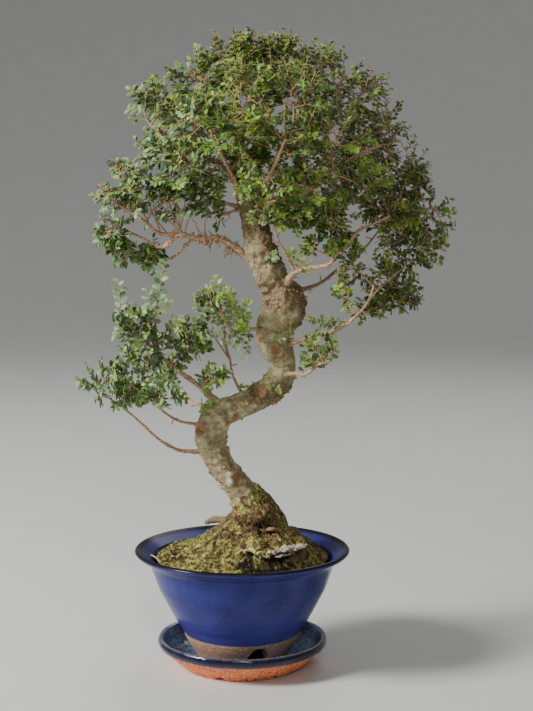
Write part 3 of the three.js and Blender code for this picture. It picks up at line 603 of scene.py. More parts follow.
feed(tree, shader, {"Base Color": earthy, "Normal": pile})
dress(makePiece("moss_carpet", points, [quads, fans], mossGreen,
                {"earthAndShade": bareEarthAndShade(points), "brown": mossBrown(points)}), "moss", "moss")


# Threads: thin three-sided spikes, each on its own foot and leaning its own way about outward
def threads(foot, outward, low, high):
    number = len(foot)
    lean = unit(draw.normal(size=(number, 3)) * 0.55 + outward)
    helper = unit(np.cross(lean, [0.3, 1.0, 0.2]))
    corner = (evenAngles(3) + draw.random((number, 1)) * 6)[..., None]
    rim = helper[:, None] * np.cos(corner) + np.cross(lean, helper)[:, None] * np.sin(corner)
    rim = rim * draw.uniform(0.22, 0.45, (number, 1, 1))
    tips = foot + lean * draw.uniform(low, high, (number, 1))
    points = np.concatenate([foot[:, None] + rim, tips[:, None]], axis=1).reshape(-1, 3)
    spike = np.array([(0, 1, 3), (1, 2, 3), (2, 0, 3), (0, 2, 1)])
    return points, (spike + (np.arange(number) * 4)[:, None, None]).reshape(-1, 3)


draw = np.random.default_rng(moss["seed"])
number = moss["fibres"]
far, turn = 91 * np.sqrt(draw.random(number)), draw.random(number) * 2 * math.pi
x, y = far * np.cos(turn), far * np.sin(turn)
carpetFoot = np.stack([x, y, mossTop(x, y) - 0.4], axis=1)
carpetFoot = carpetFoot[draw.random(number) > 0.95 * bareEarthAndShade(carpetFoot)]

# Mantle: moss and fine roots that wrap the trunk's foot, a ring carried up the foot that stands out where
# it is below its own upper edge and dips under the bark above it
mantle = {
    "rows": [(21, 0, 128, 28.5), (20, 0, 138, 28.7), (18.5, 0, 150, 28), (14, 0, 163, 23.8),
             (9, 0, 176, 18.6), (1.5, -3, 187, 16)],
    "sides": 150,
    "step": 1.0,
    "thickness": 2.6,
    # its upper edge: x, and the height there
    "edge": [(-16, 179), (-8, 181), (2, 180), (12, 177), (20, 171), (32, 168), (46, 162), (60, 154)],
    "hairs": 260,
    "fibres": 3600,
}


# 0 to the left of a line that leans up the trunk's foot, 1 to the right of it
def rightFlank(points):
    return eased(points[..., 0] + 0.75 * (points[..., 2] - 150), 34, 42)


# The upper edge: high at the left and in front, falling to the right, where a strip climbs the flank again
def mantleEdge(points):
    x, y = points[..., 0], points[..., 1]
    edge = np.interp(x, *np.array(mantle["edge"]).T)
    flank = 34 * rightFlank(points)
    return edge + flank - 14 * eased(y, -6, 8) * (1 - eased(x, 20, 40)) + 4 * roughness(points, 8, 2, 65)


# Lumps and roots that run down the foot, a bulge over a hollow in front, and no height above the edge
def mantleRelief(points, angle, run, radius):
    under = mantleEdge(points) - points[..., 2]
    rootlets = 0.9 * np.sin(13 * angle + 4 * noise(points, 12, 67))
    lumps = 1.6 * roughness(points * [1, 1, 0.7], 6, 3, 66) + rootlets
    inFront = eased(-points[..., 1], 6, 18) * (1 - eased(points[..., 0], 22, 34))
    height = points[..., 2]
    bulge = (5 * np.exp(-((height - 169) / 6.5) ** 2) - 4.5 * eased(-height, -161, -154)) * inFront
    stands = mantle["thickness"] * (1 - 0.75 * rightFlank(points)) + 0.8 * lumps + bulge
    return stands * eased(under, 0, 5) - 2.5 * (1 - eased(under, -3, 1))


# Brown where roots show, greenest in a patch in front and on the right flank, and painted shade in the
# hollow under the bulge
def mantleColours(points):
    x, z = points[:, 0], points[:, 2]
    patch = np.exp(-((x - 10) / 12) ** 2 - ((z - 177) / 7) ** 2) + 1.2 * rightFlank(points)
    brown = np.clip(0.95 - 1.1 * patch + 0.5 * roughness(points, 9, 2, 68), 0, 1)
    # painted shade low in front under the bulge and lower on the right, with random patches, on the earth
    # mark
    low = eased(-z, -165, -157) + eased(x, 24, 32) * eased(-z, -170, -162)
    earthAndShade = np.clip(1.2 * low + 0.6 * roughness(points, 6, 2, 69), 0, 1) * eased(-points[:, 1], 0, 12)
    earthAndShade = earthAndShade * (1 - rightFlank(points))
    return {"brown": brown, "earthAndShade": earthAndShade}


mantleBlock = carriedRing(mantle["rows"], mantle["sides"], mantle["step"], mantleRelief)
points = mantleBlock[0]
dress(makePiece("moss_mantle", points, mantleBlock[1:3], mossGreen, mantleColours(points)), "moss")
wrap = points[:-2].reshape(-1, mantle["sides"], 3)
wrapOut = unit(wrap - wrap.mean(axis=1, keepdims=True))
shown = (mantleEdge(wrap) - wrap[..., 2] > 1.5) & (wrap[..., 2] > 140)
row, side = (picks[draw.integers(0, shown.sum(), mantle["fibres"])] for picks in np.nonzero(shown))
mantleFoot, mantleOut = wrap[row, side], wrapOut[row, side]
worn = mantleColours(mantleFoot)
leafy = draw.random(len(row)) > np.maximum(0.75 * worn["brown"], worn["earthAndShade"])
carpetThreads = threads(carpetFoot, np.array([0, 0, 1.3]), 1.4, 3.6)
mantleFoot, mantleOut = mantleFoot[leafy], mantleOut[leafy]
mantleThreads = threads(mantleFoot - mantleOut * 0.3, mantleOut + [0, 0, 0.3], 1.0, 2.6)
shades = np.concatenate([mossBrown(carpetFoot), 0.6 * mantleColours(mantleFoot)["brown"]])
points = np.concatenate([carpetThreads[0], mantleThreads[0]])
tris = np.concatenate([carpetThreads[1], mantleThreads[1] + len(carpetThreads[0])])
shades = np.repeat(shades + draw.normal(size=len(shades)) * 0.25, 4)
values = {"earthAndShade": np.zeros(len(points)), "brown": shades}
dress(makePiece("moss_threads", points, [tris], mossGreen, values, smooth=False), "moss")

# Crumbs of soil: uneven eight-sided grains, half of them along the left edge
crumbs = {
    "number": 420,
    "atLeft": 0.5,
    "size": (0.6, 1.3),
}
number = crumbs["number"]
nearLeft = np.arange(number) < number * crumbs["atLeft"]
turn = np.where(nearLeft, draw.normal(math.pi, 0.45, number), draw.random(number) * 2 * math.pi)
far = np.where(nearLeft, draw.uniform(70, 90, number), 90 * np.sqrt(draw.random(number)))
x, y = far * np.cos(turn), far * np.sin(turn)
grain = np.array([(1, 0, 0), (-1, 0, 0), (0, 1, 0), (0, -1, 0), (0, 0, 1), (0, 0, -1)], float)
grainFaces = np.array([(0, 2, 4), (2, 1, 4), (1, 3, 4), (3, 0, 4), (2, 0, 5), (1, 2, 5), (3, 1, 5),
                       (0, 3, 5)])
size = draw.uniform(*crumbs["size"], (number, 1, 1)) ** 2
middle = np.stack([x, y, mossTop(x, y)], axis=1)[:, None] + size * [0, 0, 0.4]
points = middle + grain * size * draw.uniform(0.6, 1.2, (number, 6, 1))
points = (points + draw.normal(size=points.shape) * 0.15).reshape(-1, 3)
tris = (grainFaces + (np.arange(number) * 6)[:, None, None]).reshape(-1, 3)
# Crumb: fired clay and bark, so matt grains from near black and red-brown to a few pale ones
crumb, tree, shader = startMaterial("soil crumb", Roughness=0.95)
crumbShade = addNode(tree, "Attribute", attribute_name="shade").outputs["Fac"]
clay = addNode(tree, "ValToRGB", [crumbShade],
               [(0, "#21160f"), (0.5, "#4a2e20"), (0.85, "#6e4630"), (0.97, "#8f7a64"), (1, "#c4b9a6")])
feed(tree, shader, {"Base Color": clay})
values = {"shade": np.repeat(draw.random(number), 6)}
dress(makePiece("soil_crumbs", points, [tris], crumb, values, smooth=False), "soil")

# Crust: ragged plates of pale lichen along the ridge, each a ring carried along it and pressed flat. The
# left plate sits on the moss, so its rows are x, y and radius.
crust = {
    "right": [(26, -69, 137, 2.2), (34, -66, 138.5, 4.0), (44, -60.5, 139.5, 4.6), (54, -53, 139.5, 4.4),
              (62, -44, 139, 3.4), (68, -36, 138, 1.6)],
    "lower": [(36, -69, 133.5, 1.4), (44, -65, 134, 2.4), (54, -57, 134.5, 1.6)],
    "left": [(-5, -57, 1.6), (3, -60, 2.8), (12, -66.5, 3.4), (22, -71.5, 3.4), (29, -70.5, 2.0)],
    "sides": 32,
    "flatness": 0.42,
}
leftPlate = np.array(crust["left"])
shelf = mossTop(leftPlate[:, 0], leftPlate[:, 1] + 4) - 0.4
leftPlate = np.column_stack([leftPlate[:, :2], shelf, leftPlate[:, 2]])
plates = []
for rows in (crust["right"], crust["lower"], leftPlate):
    plate = carriedRing(rows, crust["sides"], 0.8, lambda points, angle, run, radius:
                        0.95 * radius * roughness(points * [1, 1, 0.5], 2.9, 3, 61))
    rings = plate[0][:-2].reshape(-1, crust["sides"], 3)
    centres = np.append(np.repeat(rings.mean(axis=1)[:, 2], crust["sides"]), plate[0][-2:, 2])
    pressed = centres + (plate[0][:, 2] - centres) * crust["flatness"]
    plate[0][:, 2] = pressed + 1.5 * noise(plate[0], 4, 62)
    plates.append(plate[:3])
points, quads, tris = joined(plates)
# Lichen: dry scales, so matt and chalky, grey-white at the right and yellower at the left
lichen, tree, shader = startMaterial("lichen crust", Roughness=0.85)
place = placeInMm(tree)
scales = addNode(tree, "TexNoise", {"Vector": place, "Scale": 0.5, "Detail": 6.0, "Roughness": 0.7})
pale = addNode(tree, "ValToRGB", [scales],
               [(0.34, "#3a2d1e"), (0.43, "#8b7d62"), (0.53, "#c6bba3"), (0.66, "#efe9db")])
yellow = addNode(tree, "ValToRGB", [scales],
                 [(0.36, "#3c3217"), (0.45, "#9c8c4f"), (0.54, "#d3c684"), (0.66, "#f3ecb8")])
across = addNode(tree, "SeparateXYZ", [place]).outputs["X"]
older = addNode(tree, "MapRange", [across, 22.0, 34.0])
crusted = addNode(tree, "Mix", {0: older, 6: yellow, 7: pale}, data_type="RGBA")
flakes = addNode(tree, "Bump", {"Height": scales, "Strength": 0.7, "Distance": 0.001})
feed(tree, shader, {"Base Color": crusted, "Normal": flakes})
dress(makePiece("crust_ridge", points, [quads, tris], lichen), "moss")

# Root hairs: brown threads that run down the mound from the trunk's foot, each laid on the moss, and others
# that cling to the mantle
rootHairs = {
    "number": 170,
    "directions": (140, 320),
    "start": (23, 36),
    "length": (7, 24),
    "radius": (0.3, 0.8),
    "bends": 7,
}
number = rootHairs["number"]
turn = np.radians(draw.uniform(*rootHairs["directions"], number))
start, runOut = draw.uniform(*rootHairs["start"], number), draw.uniform(*rootHairs["length"], number)
bends = np.linspace(0, 1, rootHairs["bends"])
far = start[:, None] + runOut[:, None] * bends
drift, shiver = draw.normal(size=(number, 1)) * 0.25, draw.normal(size=(number, len(bends))) * 0.03
turn = turn[:, None] + (drift + shiver) * bends
x, y = 15 + far * np.cos(turn), far * np.sin(turn)
hairPaths = np.stack([x, y, mossTop(x, y) + 0.5 + 0.8 * np.sin(bends * 9 + start[:, None])], axis=-1)
number = mantle["hairs"]
top = draw.integers(int(len(wrap) * 0.55), len(wrap) - 8, number)
side = draw.integers(0, mantle["sides"], number)
down = top[:, None] - (bends * draw.uniform(8, 24, (number, 1))).astype(int)
down = np.clip(down, 0, len(wrap) - 1)
aside = (side[:, None] + np.rint(bends * draw.normal(size=(number, 1)) * 5).astype(int)) % mantle["sides"]
lift = (0.5 + draw.random((number, len(bends))) * 0.9)[..., None]
hairPaths = np.concatenate([hairPaths, wrap[down, aside] + wrapOut[down, aside] * lift])
hairRadii = draw.uniform(*rootHairs["radius"], (len(hairPaths), 1)) * np.linspace(1, 0.4, len(bends))
points, quads, tris = stems(hairPaths, hairRadii, 4)[:3]

# Root hair: dry skin of a fine root, so a matt brown, streaked with tan
rootBrown, tree, shader = startMaterial("root hair", Roughness=0.8)
grain = addNode(tree, "TexNoise", {"Vector": placeInMm(tree), "Scale": 0.25, "Detail": 3.0})
tan = addNode(tree, "ValToRGB", [grain], [(0.35, "#3f2b1a"), (0.5, "#6d5233"), (0.65, "#a0845a")])
feed(tree, shader, {"Base Color": tan})
dress(makePiece("root_hairs", points, [quads, tris], rootBrown), "bark")

# A dry stick that leans on the lip: bleached straw, so matt and pale tan with a brown grain
stick = {
    "rows": [(-96, -21, 124, 0.9), (-91, -34, 125, 0.8), (-84, -50, 123.5, 0.6)],
    "sides": 8,
    "step": 1.5,
}
points, *faces = carriedRing(stick["rows"], stick["sides"], stick["step"])[:3]
strawColours = [(0.3, "#6e5c3c"), (0.5, "#a89670"), (0.7, "#d0c29a")]
straw = mottledMaterial("dry straw", 0.9, strawColours, Roughness=0.7)
dress(makePiece("dry_stick", points, faces, straw), "bark")

# Grass: blades that fan out from a tuft at the right and from a smaller one at the left
grass = {
    "blades": 80,
    "atRight": 56,
    "right": (68, 38, 0),
    "left": (-56, 8, 0),
    "height": (7, 14),
    "radii": (0.5, 0.38, 0.12),
}
number = grass["blades"]
atRight = np.arange(number)[:, None] < grass["atRight"]
foot = np.where(atRight, grass["right"], grass["left"]) + draw.normal(size=(number, 3)) * [7, 7, 0]
foot[:, 2] = mossTop(foot[:, 0], foot[:, 1])
lean = unit(draw.normal(size=(number, 3)) * [0.6, 0.6, 0.1] + [0, 0, 1.0])
tall = draw.uniform(*grass["height"], (number, 1)) * np.where(atRight, 1, 0.5)
bladePaths = foot[:, None] + lean[:, None] * (tall * [0, 0.5, 1])[..., None]
bladePaths[:, 2, 2] -= tall[:, 0] * 0.18
points, quads, tris = stems(bladePaths, np.broadcast_to(grass["radii"], (number, 3)), 3)[:3]

# Grass blade: waxy skin, so a soft sheen on fresh green that pales in streaks
grassColours = [(0.3, "#3f6a22"), (0.5, "#6b9a38"), (0.7, "#a3bd5a")]
grassGreen = mottledMaterial("grass", 0.35, grassColours, Roughness=0.5)
dress(makePiece("grass_tuft", points, [quads, tris], grassGreen), "leaf")

# Trunk: a ring carried along the bends of the trunk from under the moss to the top shoot
trunk = {
    "rows": [(20, 2, 104, 22), (20, 0, 118, 25), (21, 0, 131, 27), (18.5, 0, 150, 26), (9, 0, 176, 18.2),
             (-4, -4, 193, 15.2), (-20, -9, 216, 13.7), (-31, -12, 238, 14.3), (-32, -12, 256, 16.3),
             (-24, -9, 273, 15.8), (-4, -5, 281, 13.2), (21, 0, 292, 13.3), (40, 7, 309, 14.4),
             (42, 8, 327, 14), (36, 8, 343, 17.5), (33, 7, 359, 18), (42, 4, 377, 21.5), (46, 2, 393, 20),
             (36, 0, 411, 15.5), (27, -2, 428, 15.5), (20, -3, 446, 15), (15, -2, 464, 13.1),
             (11, 0, 480, 11.5), (5, 3, 498, 9.4), (-1, 6, 514, 7.9), (-5, 7, 534, 6.3),
             (-2, 8, 560, 4.7), (9, 8, 588, 3.6), (15, 8, 612, 2.6)],
    "sides": 100,
    "step": 1.45,
    # place, width and depth of a hollow scar with a raised rim
    "scars": [(-41, -22, 257, 6.5, 3.0), (-6, -20, 271, 4, 2.0), (21, -14, 297, 3.5, 1.8),
              (-6, -18, 207, 5, 2.4), (-19, -20, 234, 4.5, 2.2), (-10, -20, 220, 3.5, 1.6),
              (38, -12, 339, 4.5, 2.4), (52, -14, 412, 4.5, 2.4), (3, -20, 183, 4, 1.8),
              (30, -18, 452, 3.5, 2.0), (14, -8, 350, 3, 1.6), (-14, -20, 264, 3, 1.6),
              (24, -16, 470, 3, 1.8)],
    # place, width and height of a knob or a pale bulge
    "knobs": [(-15, -14, 218, 4.5, 1.6), (28, -13, 381, 9, 3.0), (40, -14, 362, 5, 2.0),
              (-28, -27, 262, 3.5, 2.0), (4, -18, 286, 4.5, 2.4), (30, -18, 424, 5, 3.0),
              (12, -16, 446, 4.5, 2.4), (-37, -26, 248, 4, 1.6), (-45, -12, 246, 4, 2.2),
              (20, -10, 335, 4, 2.6), (17, -8, 372, 4, 4.0), (16, -12, 398, 5, 3.0),
              (56, -8, 380, 6, 2.6), (46, -16, 402, 4, 3.0), (22, -16, 412, 4, 3.0),
              (-12, -22, 200, 3.5, 1.8), (7, -6, 444, 8, 3.0), (11, -8, 428, 7, 3.0),
              (17, -8, 411, 7, 3.5), (-14, -18, 283, 4, 2.6), (14, -14, 284, 3.5, 2.2),
              (49, -4, 318, 4, 2.2), (34, -16, 440, 3, 2.2), (-48, -10, 231, 4, 2.4),
              (-34, -10, 210, 4, 2.2), (-23, -10, 196, 3.5, 2.0), (-10, -4, 238, 4, 2.2),
              (3, -6, 221, 4, 2.2), (-46, -10, 262, 4, 1.8)],
    "spurs": 210,
    "spurLength": (1.6, 3.4),
    "spurRadius": (0.9, 1.8),
    "seed": 515,
    "roots": {
        "front": [(22, -6, 130, 11), (46, -20, 128, 9), (60, -38, 125, 8), (48, -54, 124, 7),
                  (24, -62, 122, 6), (4, -62, 118, 4)],
        "left": [(10, 0, 138, 15), (-20, -14, 136, 11), (-44, -27, 120, 5)],
        "right": [(26, 4, 138, 15), (52, 12, 136, 11), (72, 22, 117, 5)],
        "back": [(8, 8, 142, 9), (-12, 22, 149, 5), (-22, 27, 152, 3.4), (-32, 32, 150, 3.8),
                 (-41, 36, 146, 2)],
        "red": [(25, -29, 153, 1.2), (31, -30.5, 154, 2.4), (36, -30, 153.5, 2.2), (41, -27, 151, 1)],
    },
}


# Where the bark is torn and brown: around the fork of the big right limbs and under the lower bend
def roughZone(points):
    height = points[..., 2]
    upper = eased(height, 376, 392) * (1 - eased(height, 412, 428)) + 0.5 * eased(height, 424, 440)
    lower = eased(height, 282, 288) * (1 - eased(height, 302, 312)) * eased(points[..., 0], 2, 12)
    flank = 0.7 * eased(points[..., 0] + points[..., 1] * 0.4, 50, 60) * eased(height, 330, 350)
    right = 0.8 * eased(points[..., 0] - 27 + (height - 428) * 0.31, 1, 7)
    right = right * eased(height, 416, 428) * (1 - eased(height, 470, 486))
    return np.clip(upper * (1 - flank) + lower + flank + right + 0.3 * noise(points, 16, 30), 0, 1)


# Scars and knobs are seated on the wood: each moves to the nearest point of the trunk before its relief
def seated(rows, skin):
    rows = np.array(rows, float)
    rows[:, :3] = skin[np.linalg.norm(skin[:, None] - rows[:, :3], axis=-1).argmin(axis=0)]
    return rows


smoothTrunk = carriedRing(trunk["rows"], trunk["sides"], trunk["step"])[0]
scars, knobs = (seated(trunk[name], smoothTrunk) for name in ("scars", "knobs"))


# Relief is the sum of long swells, wrinkles across the grain, plates and grain, gnarls in the torn zones,
# flutes at the foot, knobs as bells, and scars as bells cut in with a ring raised around them
def trunkRelief(points, angle, run, radius):
    swell = 0.075 * radius * roughness(points, 26, 3, 31)
    wrinkle = 0.55 * np.sin(run * 2 * math.pi / 9 + 5 * noise(points, 17, 32))
    wrinkle = wrinkle * eased(noise(points, 24, 33), -0.3, 0.6)
    plates = 0.4 * (1 - 2 * np.abs(noise(points * [1, 1, 0.6], 5, 34)))
    plates = plates + 0.22 * roughness(points, 2.6, 2, 35)
    gnarl = 2.1 * (1 - 2 * np.abs(noise(points, 8, 36))) + 1.5 * roughness(points, 3.4, 2, 37)
    flutes = eased(-points[..., 2], -176, -132) * 2.4 * np.sin(5 * angle + 1.3 * noise(points, 30, 38))
    relief = swell + (wrinkle + plates) * np.clip(radius / 12, 0.3, 1) + gnarl * roughZone(points) + flutes
    for x, y, z, width, height in knobs:
        away = np.linalg.norm(points - [x, y, z], axis=-1) / width
        relief = relief + height * np.exp(-away ** 2)
    for x, y, z, width, depth in scars:
        away = np.linalg.norm(points - [x, y, z], axis=-1) / width
        raisedRim = depth * 0.5 * np.exp(-((away - 1.3) / 0.35) ** 2)
        relief = relief - depth * np.exp(-away ** 2 * 1.4) + raisedRim
    return relief


# How much of a scar a place carries: a bell with a ragged edge round each, the strongest one holds
def scarred(points):
    share = np.zeros(len(points))
    for x, y, z, width, depth in scars:
        away = np.linalg.norm(points - [x, y, z], axis=-1) / width * (1 + 0.5 * roughness(points, 5, 2, 44))
        share = np.maximum(share, np.exp(-0.8 * away ** 2))
    return share


# Algae and moss on the bark: on the right flank of the foot, on the smooth olive bulge, and in patches
def greened(points):
    x, height = points[:, 0], points[:, 2]
    foot = eased(-height, -222, -170) * eased(x + (height - 176) * 0.75, 14, 26)
    bulge = 0.5 * eased(height, 326, 340) * (1 - eased(height, 372, 384))
    return np.clip(foot + bulge + 0.5 * eased(roughness(points, 34, 2, 42), 0.1, 0.7), 0, 1)


trunkBlock = carriedRing(trunk["rows"], trunk["sides"], trunk["step"], trunkRelief)
rootBlocks = [carriedRing(rows, 32, 1.8, lambda points, angle, run, radius:
                          0.13 * radius * roughness(points, 6, 3, 41) + 0.9 * noise(points, 3.2, 43))
              for rows in trunk["roots"].values()]

# Spurs: short broken ends of old shoots that stand out of the trunk, thickest in the torn zones
draw = np.random.default_rng(trunk["seed"])
skin = trunkBlock[0][:-2].reshape(-1, trunk["sides"], 3)
leftEdge = (skin[..., 0] < skin[..., 0].mean(axis=1, keepdims=True) - 6) * (skin[..., 2] < 262)
wanted = (0.25 + roughZone(skin) + 0.9 * leftEdge) * (skin[..., 2] > 185) * (skin[..., 2] < 500)
picked = draw.choice(wanted.size, trunk["spurs"], p=(wanted / wanted.sum()).ravel())
row, side = np.divmod(picked, trunk["sides"])
outward = unit(skin[row, side] - skin[row].mean(axis=1))
foot = skin[row, side] - outward * 1.2
aim = unit(outward + draw.normal(size=outward.shape) * 0.45)
tall = draw.uniform(*trunk["spurLength"], (len(picked), 1))
spurPaths = foot[:, None] + aim[:, None] * (tall * [0, 0.5, 1])[..., None]
spurRadii = draw.uniform(*trunk["spurRadius"], (len(picked), 1)) * [1.3, 1.0, 0.75]
spurBlock = stems(spurPaths, spurRadii, 6)
spurPlaces = np.repeat([[1.0, 0.0, 0.0]], len(spurBlock[0]), axis=0)

points, quads, tris, places = joined([trunkBlock, *rootBlocks, (*spurBlock[:3], spurPlaces)])
isSpur = np.arange(len(points)) >= len(points) - len(spurPlaces)
lowRoot = 1 - eased(points[:, 2], 152, 160)
redRoot = 0.5 * np.exp(-(np.linalg.norm(points - [33, -31, 154], axis=1) / 10) ** 4)
values = {
    "barkPlace": places,
    "scar": np.clip(scarred(points) + 0.15 * isSpur + redRoot, 0, 1),
    "torn": np.clip(roughZone(points) + lowRoot, 0, 1),
    "green": greened(points) * (1 - isSpur),
    "thin": isSpur * 0.8,
}

# Elm bark: grey-beige and olive with fine wrinkles across it, a painted highlight on the raised bands and
# painted shade in the sunken bands and cracks; torn zones are brown and flaky, scars red-brown, and thin
# limbs turn to pinkish tan
bark, tree, shader = startMaterial("elm bark", Roughness=0.8, Specular_IOR_Level=0.3)
place = placeInMm(tree)
barkPlace = addNode(tree, "Attribute", attribute_name="barkPlace").outputs["Vector"]
scarMark, tornMark, greenMark, thinMark = (addNode(tree, "Attribute", attribute_name=name).outputs["Fac"]
                                           for name in ("scar", "torn", "green", "thin"))
mottle = addNode(tree, "TexNoise", {"Vector": place, "Scale": 0.1, "Detail": 6.0, "Roughness": 0.62})
fine = addNode(tree, "TexNoise", {"Vector": place, "Scale": 0.7, "Detail": 5.0, "Roughness": 0.7})
wave = {"Vector": barkPlace, "Scale": 0.05, "Distortion": 16.0, "Detail": 4.0, "Detail Scale": 1.2}
bands = addNode(tree, "TexWave", wave, bands_direction="Z").outputs["Fac"]
smooth = addNode(tree, "ValToRGB", [mottle],
                 [(0.32, "#6b5f42"), (0.44, "#968962"), (0.55, "#b9ac85"), (0.68, "#e2d7b4")])
algae = addNode(tree, "ValToRGB", [fine], [(0.35, "#343413"), (0.5, "#5f6028"), (0.68, "#888546")])
flaky = addNode(tree, "ValToRGB", [fine],
                [(0.34, "#1f160d"), (0.45, "#54402a"), (0.57, "#8c7252"), (0.7, "#c4ab84")])
young = addNode(tree, "ValToRGB", [fine], [(0.34, "#684a33"), (0.48, "#ac8665"), (0.66, "#e4c6a2")])
healed = addNode(tree, "ValToRGB", [fine],
                 [(0.36, "#4a2e1c"), (0.48, "#875b3a"), (0.6, "#ad8056"), (0.72, "#c9a67c")])
# painted shade in the cracks and sunken bands, and a painted highlight on the raised bands, from the bump's
# own height
crackShade = addNode(tree, "MapRange", [fine, 0.46, 0.3, 0.0, 0.8])
ridge = addNode(tree, "MapRange", [bands, 0.7, 0.98, 0.0, 0.24])
groove = addNode(tree, "MapRange", [bands, 0.24, 0.04, 0.0, 0.2])
scarShare = addNode(tree, "MapRange", [scarMark, 0.1, 0.6, 0.0, 0.75])
greenShare, tornShare, youngShare = (
    addNode(tree, "Math", [mark, most], operation="MULTIPLY")
    for mark, most in ((greenMark, 0.75), (tornMark, 0.85), (thinMark, 0.9)))
colour = smooth
for share, over in ((crackShade, "#40351f"), (ridge, "#c0b89c"), (groove, "#4c4029"), (greenShare, algae),
                    (tornShare, flaky), (youngShare, young), (scarShare, healed)):
    colour = addNode(tree, "Mix", {0: share, 6: colour, 7: over}, data_type="RGBA")
height = addNode(tree, "Math", [bands, 0.25, fine], operation="MULTIPLY_ADD")
furrow = addNode(tree, "Bump", {"Height": height, "Strength": 0.6, "Distance": 0.001})
feed(tree, shader, {"Base Color": colour, "Normal": furrow})
dress(makePiece("trunk_wood", points, [quads, tris], bark, values), "bark", "trunk")
print("moss and trunk ready")

# Limbs: for each, its bends and the radii of its two ends
limbs = {
    "lowLeftLong": ([(-36, -12, 234), (-62, -22, 236), (-78, -30, 244), (-90, -36, 254), (-112, -42, 276),
                     (-133, -46, 293), (-149, -48, 302)], 2.8, 0.8),
    "lowLeftMain": ([(-25, -8, 284), (-46, -12, 304), (-59, -16, 314), (-75, -18, 327), (-94, -18, 345),
                     (-111, -18, 363), (-126, -18, 395)], 4.0, 1.1),
    "lowLeftMid": ([(-38, -14, 262), (-65, -30, 269), (-83, -44, 283), (-98, -54, 299), (-113, -60, 311)],
                   2.1, 0.8),
    "lowLeftBack": ([(-30, -4, 279), (-43, 12, 280), (-53, 24, 280), (-68, 40, 292), (-85, 52, 307)],
                    2.5, 1.2),
    "innerThin": ([(2, -1, 290), (-10, 4, 313), (-13, 6, 330), (-21, 8, 352)], 1.7, 1.1),
    "midLeft": ([(26, -2, 360), (11, -14, 364), (-3, -20, 361), (-14, -24, 368), (-23, -28, 388),
                 (-32, -30, 413)], 3.0, 0.8),
    "rightLow": ([(44, 0, 314), (56, -16, 317), (67, -22, 317), (79, -28, 327), (92, -32, 332)],
                 3.2, 1.3),
    "rightMid": ([(44, 2, 344), (62, -10, 351), (81, -14, 356), (96, -16, 361), (115, -16, 374),
                  (126, -16, 385), (143, -14, 406), (164, -10, 424)], 2.8, 1.0),
    "rightMidTwin": ([(96, -16, 361), (113, -22, 372), (131, -28, 393), (137, -30, 411)], 1.7, 1.1),
    "rightUpper": ([(44, -6, 405), (54, -18, 422), (68, -28, 428), (82, -34, 430), (92, -38, 434),
                    (98, -40, 444), (110, -43, 455), (118, -45, 466), (132, -46, 473), (151, -46, 482)],
                   4.8, 0.8),
    "rightFork": ([(55, -20, 425), (46, -26, 443), (38, -32, 457), (35, -36, 468), (34, -42, 482)],
                  1.6, 0.8),
    "rightBack": ([(50, 8, 399), (83, 40, 408), (106, 60, 424), (123, 70, 433), (142, 80, 454),
                   (157, 86, 473)], 3.4, 0.9),
    "leftUpper": ([(16, -3, 430), (2, -6, 442), (-11, -7, 452), (-27, -10, 459), (-40, -14, 457),
                   (-59, -20, 462), (-66, -20, 462), (-85, -22, 464), (-97, -24, 474), (-108, -26, 482),
                   (-126, -28, 494), (-139, -28, 512)], 5.4, 1.0),
    "leftUpperB": ([(-66, -20, 462), (-83, -14, 449), (-103, -12, 459), (-116, -14, 465),
                    (-132, -16, 475), (-147, -16, 480)], 2.1, 0.8),
    "leftUpperC": ([(-50, -16, 458), (-74, 0, 437), (-97, 10, 433)], 1.6, 1.0),
    "stub": ([(3, 0, 489), (-23, -8, 497), (-38, -14, 503)], 2.5, 1.2),
    "stubLow": ([(1, -2, 489), (-13, -10, 485), (-24, -14, 483)], 1.9, 1.0),
    "crownLeft": ([(1, 0, 503), (-14, -6, 527), (-30, -10, 539), (-48, -12, 550), (-68, -14, 560),
                   (-94, -14, 575)], 4.2, 1.1),
    "crownUpLeft": ([(-4, 6, 524), (-14, 4, 550), (-24, -4, 575), (-37, -14, 606), (-52, -20, 631)],
                    3.2, 1.1),
    "crownUpRight": ([(18, 0, 468), (45, 4, 508), (63, 6, 540), (80, 6, 571), (97, 4, 602),
                      (107, 0, 632)], 5.3, 1.3),
    "crownRight": ([(37, 2, 496), (71, -6, 514), (102, -10, 534), (133, -8, 550), (165, -4, 560)],
                   3.8, 1.3),
    "crownRightLow": ([(84, -7, 522), (124, 10, 498), (167, 16, 503), (199, 14, 498)], 2.3, 1.1),
    "crownFront": ([(14, -4, 481), (21, -50, 508), (34, -90, 533), (44, -110, 557)], 3.6, 1.2),
    "crownBack": ([(8, 4, 487), (14, 50, 514), (19, 95, 541), (30, 115, 575)], 3.6, 1.2),
    "frontLeft": ([(5, 0, 496), (-16, -60, 538), (-29, -90, 567)], 2.8, 1.2),
    "backLeft": ([(4, 6, 503), (-24, 60, 535), (-58, 95, 563)], 2.8, 1.2),
    "backRight": ([(40, 4, 500), (62, 60, 519), (102, 100, 552)], 3.2, 1.3),
    "frontRight": ([(31, 0, 487), (60, -50, 503), (94, -85, 523)], 3.0, 1.3),
}


# A limb swells at its foot and carries knobs: the noise's peaks raised to a power
def limbRelief(points, angle, run, radius):
    collar = 0.5 * radius * np.exp(-run / (1.2 * radius + 2))
    gnarled = 1 + 1.2 * eased(-points[..., 0], -12, 20) * eased(points[..., 2], 444, 452)
    lumps = 0.75 * gnarled * radius * np.clip(noise(points, 5.5, 51), 0, 1) ** 2
    return collar + lumps + 0.14 * radius * noise(points, 2.4, 52)


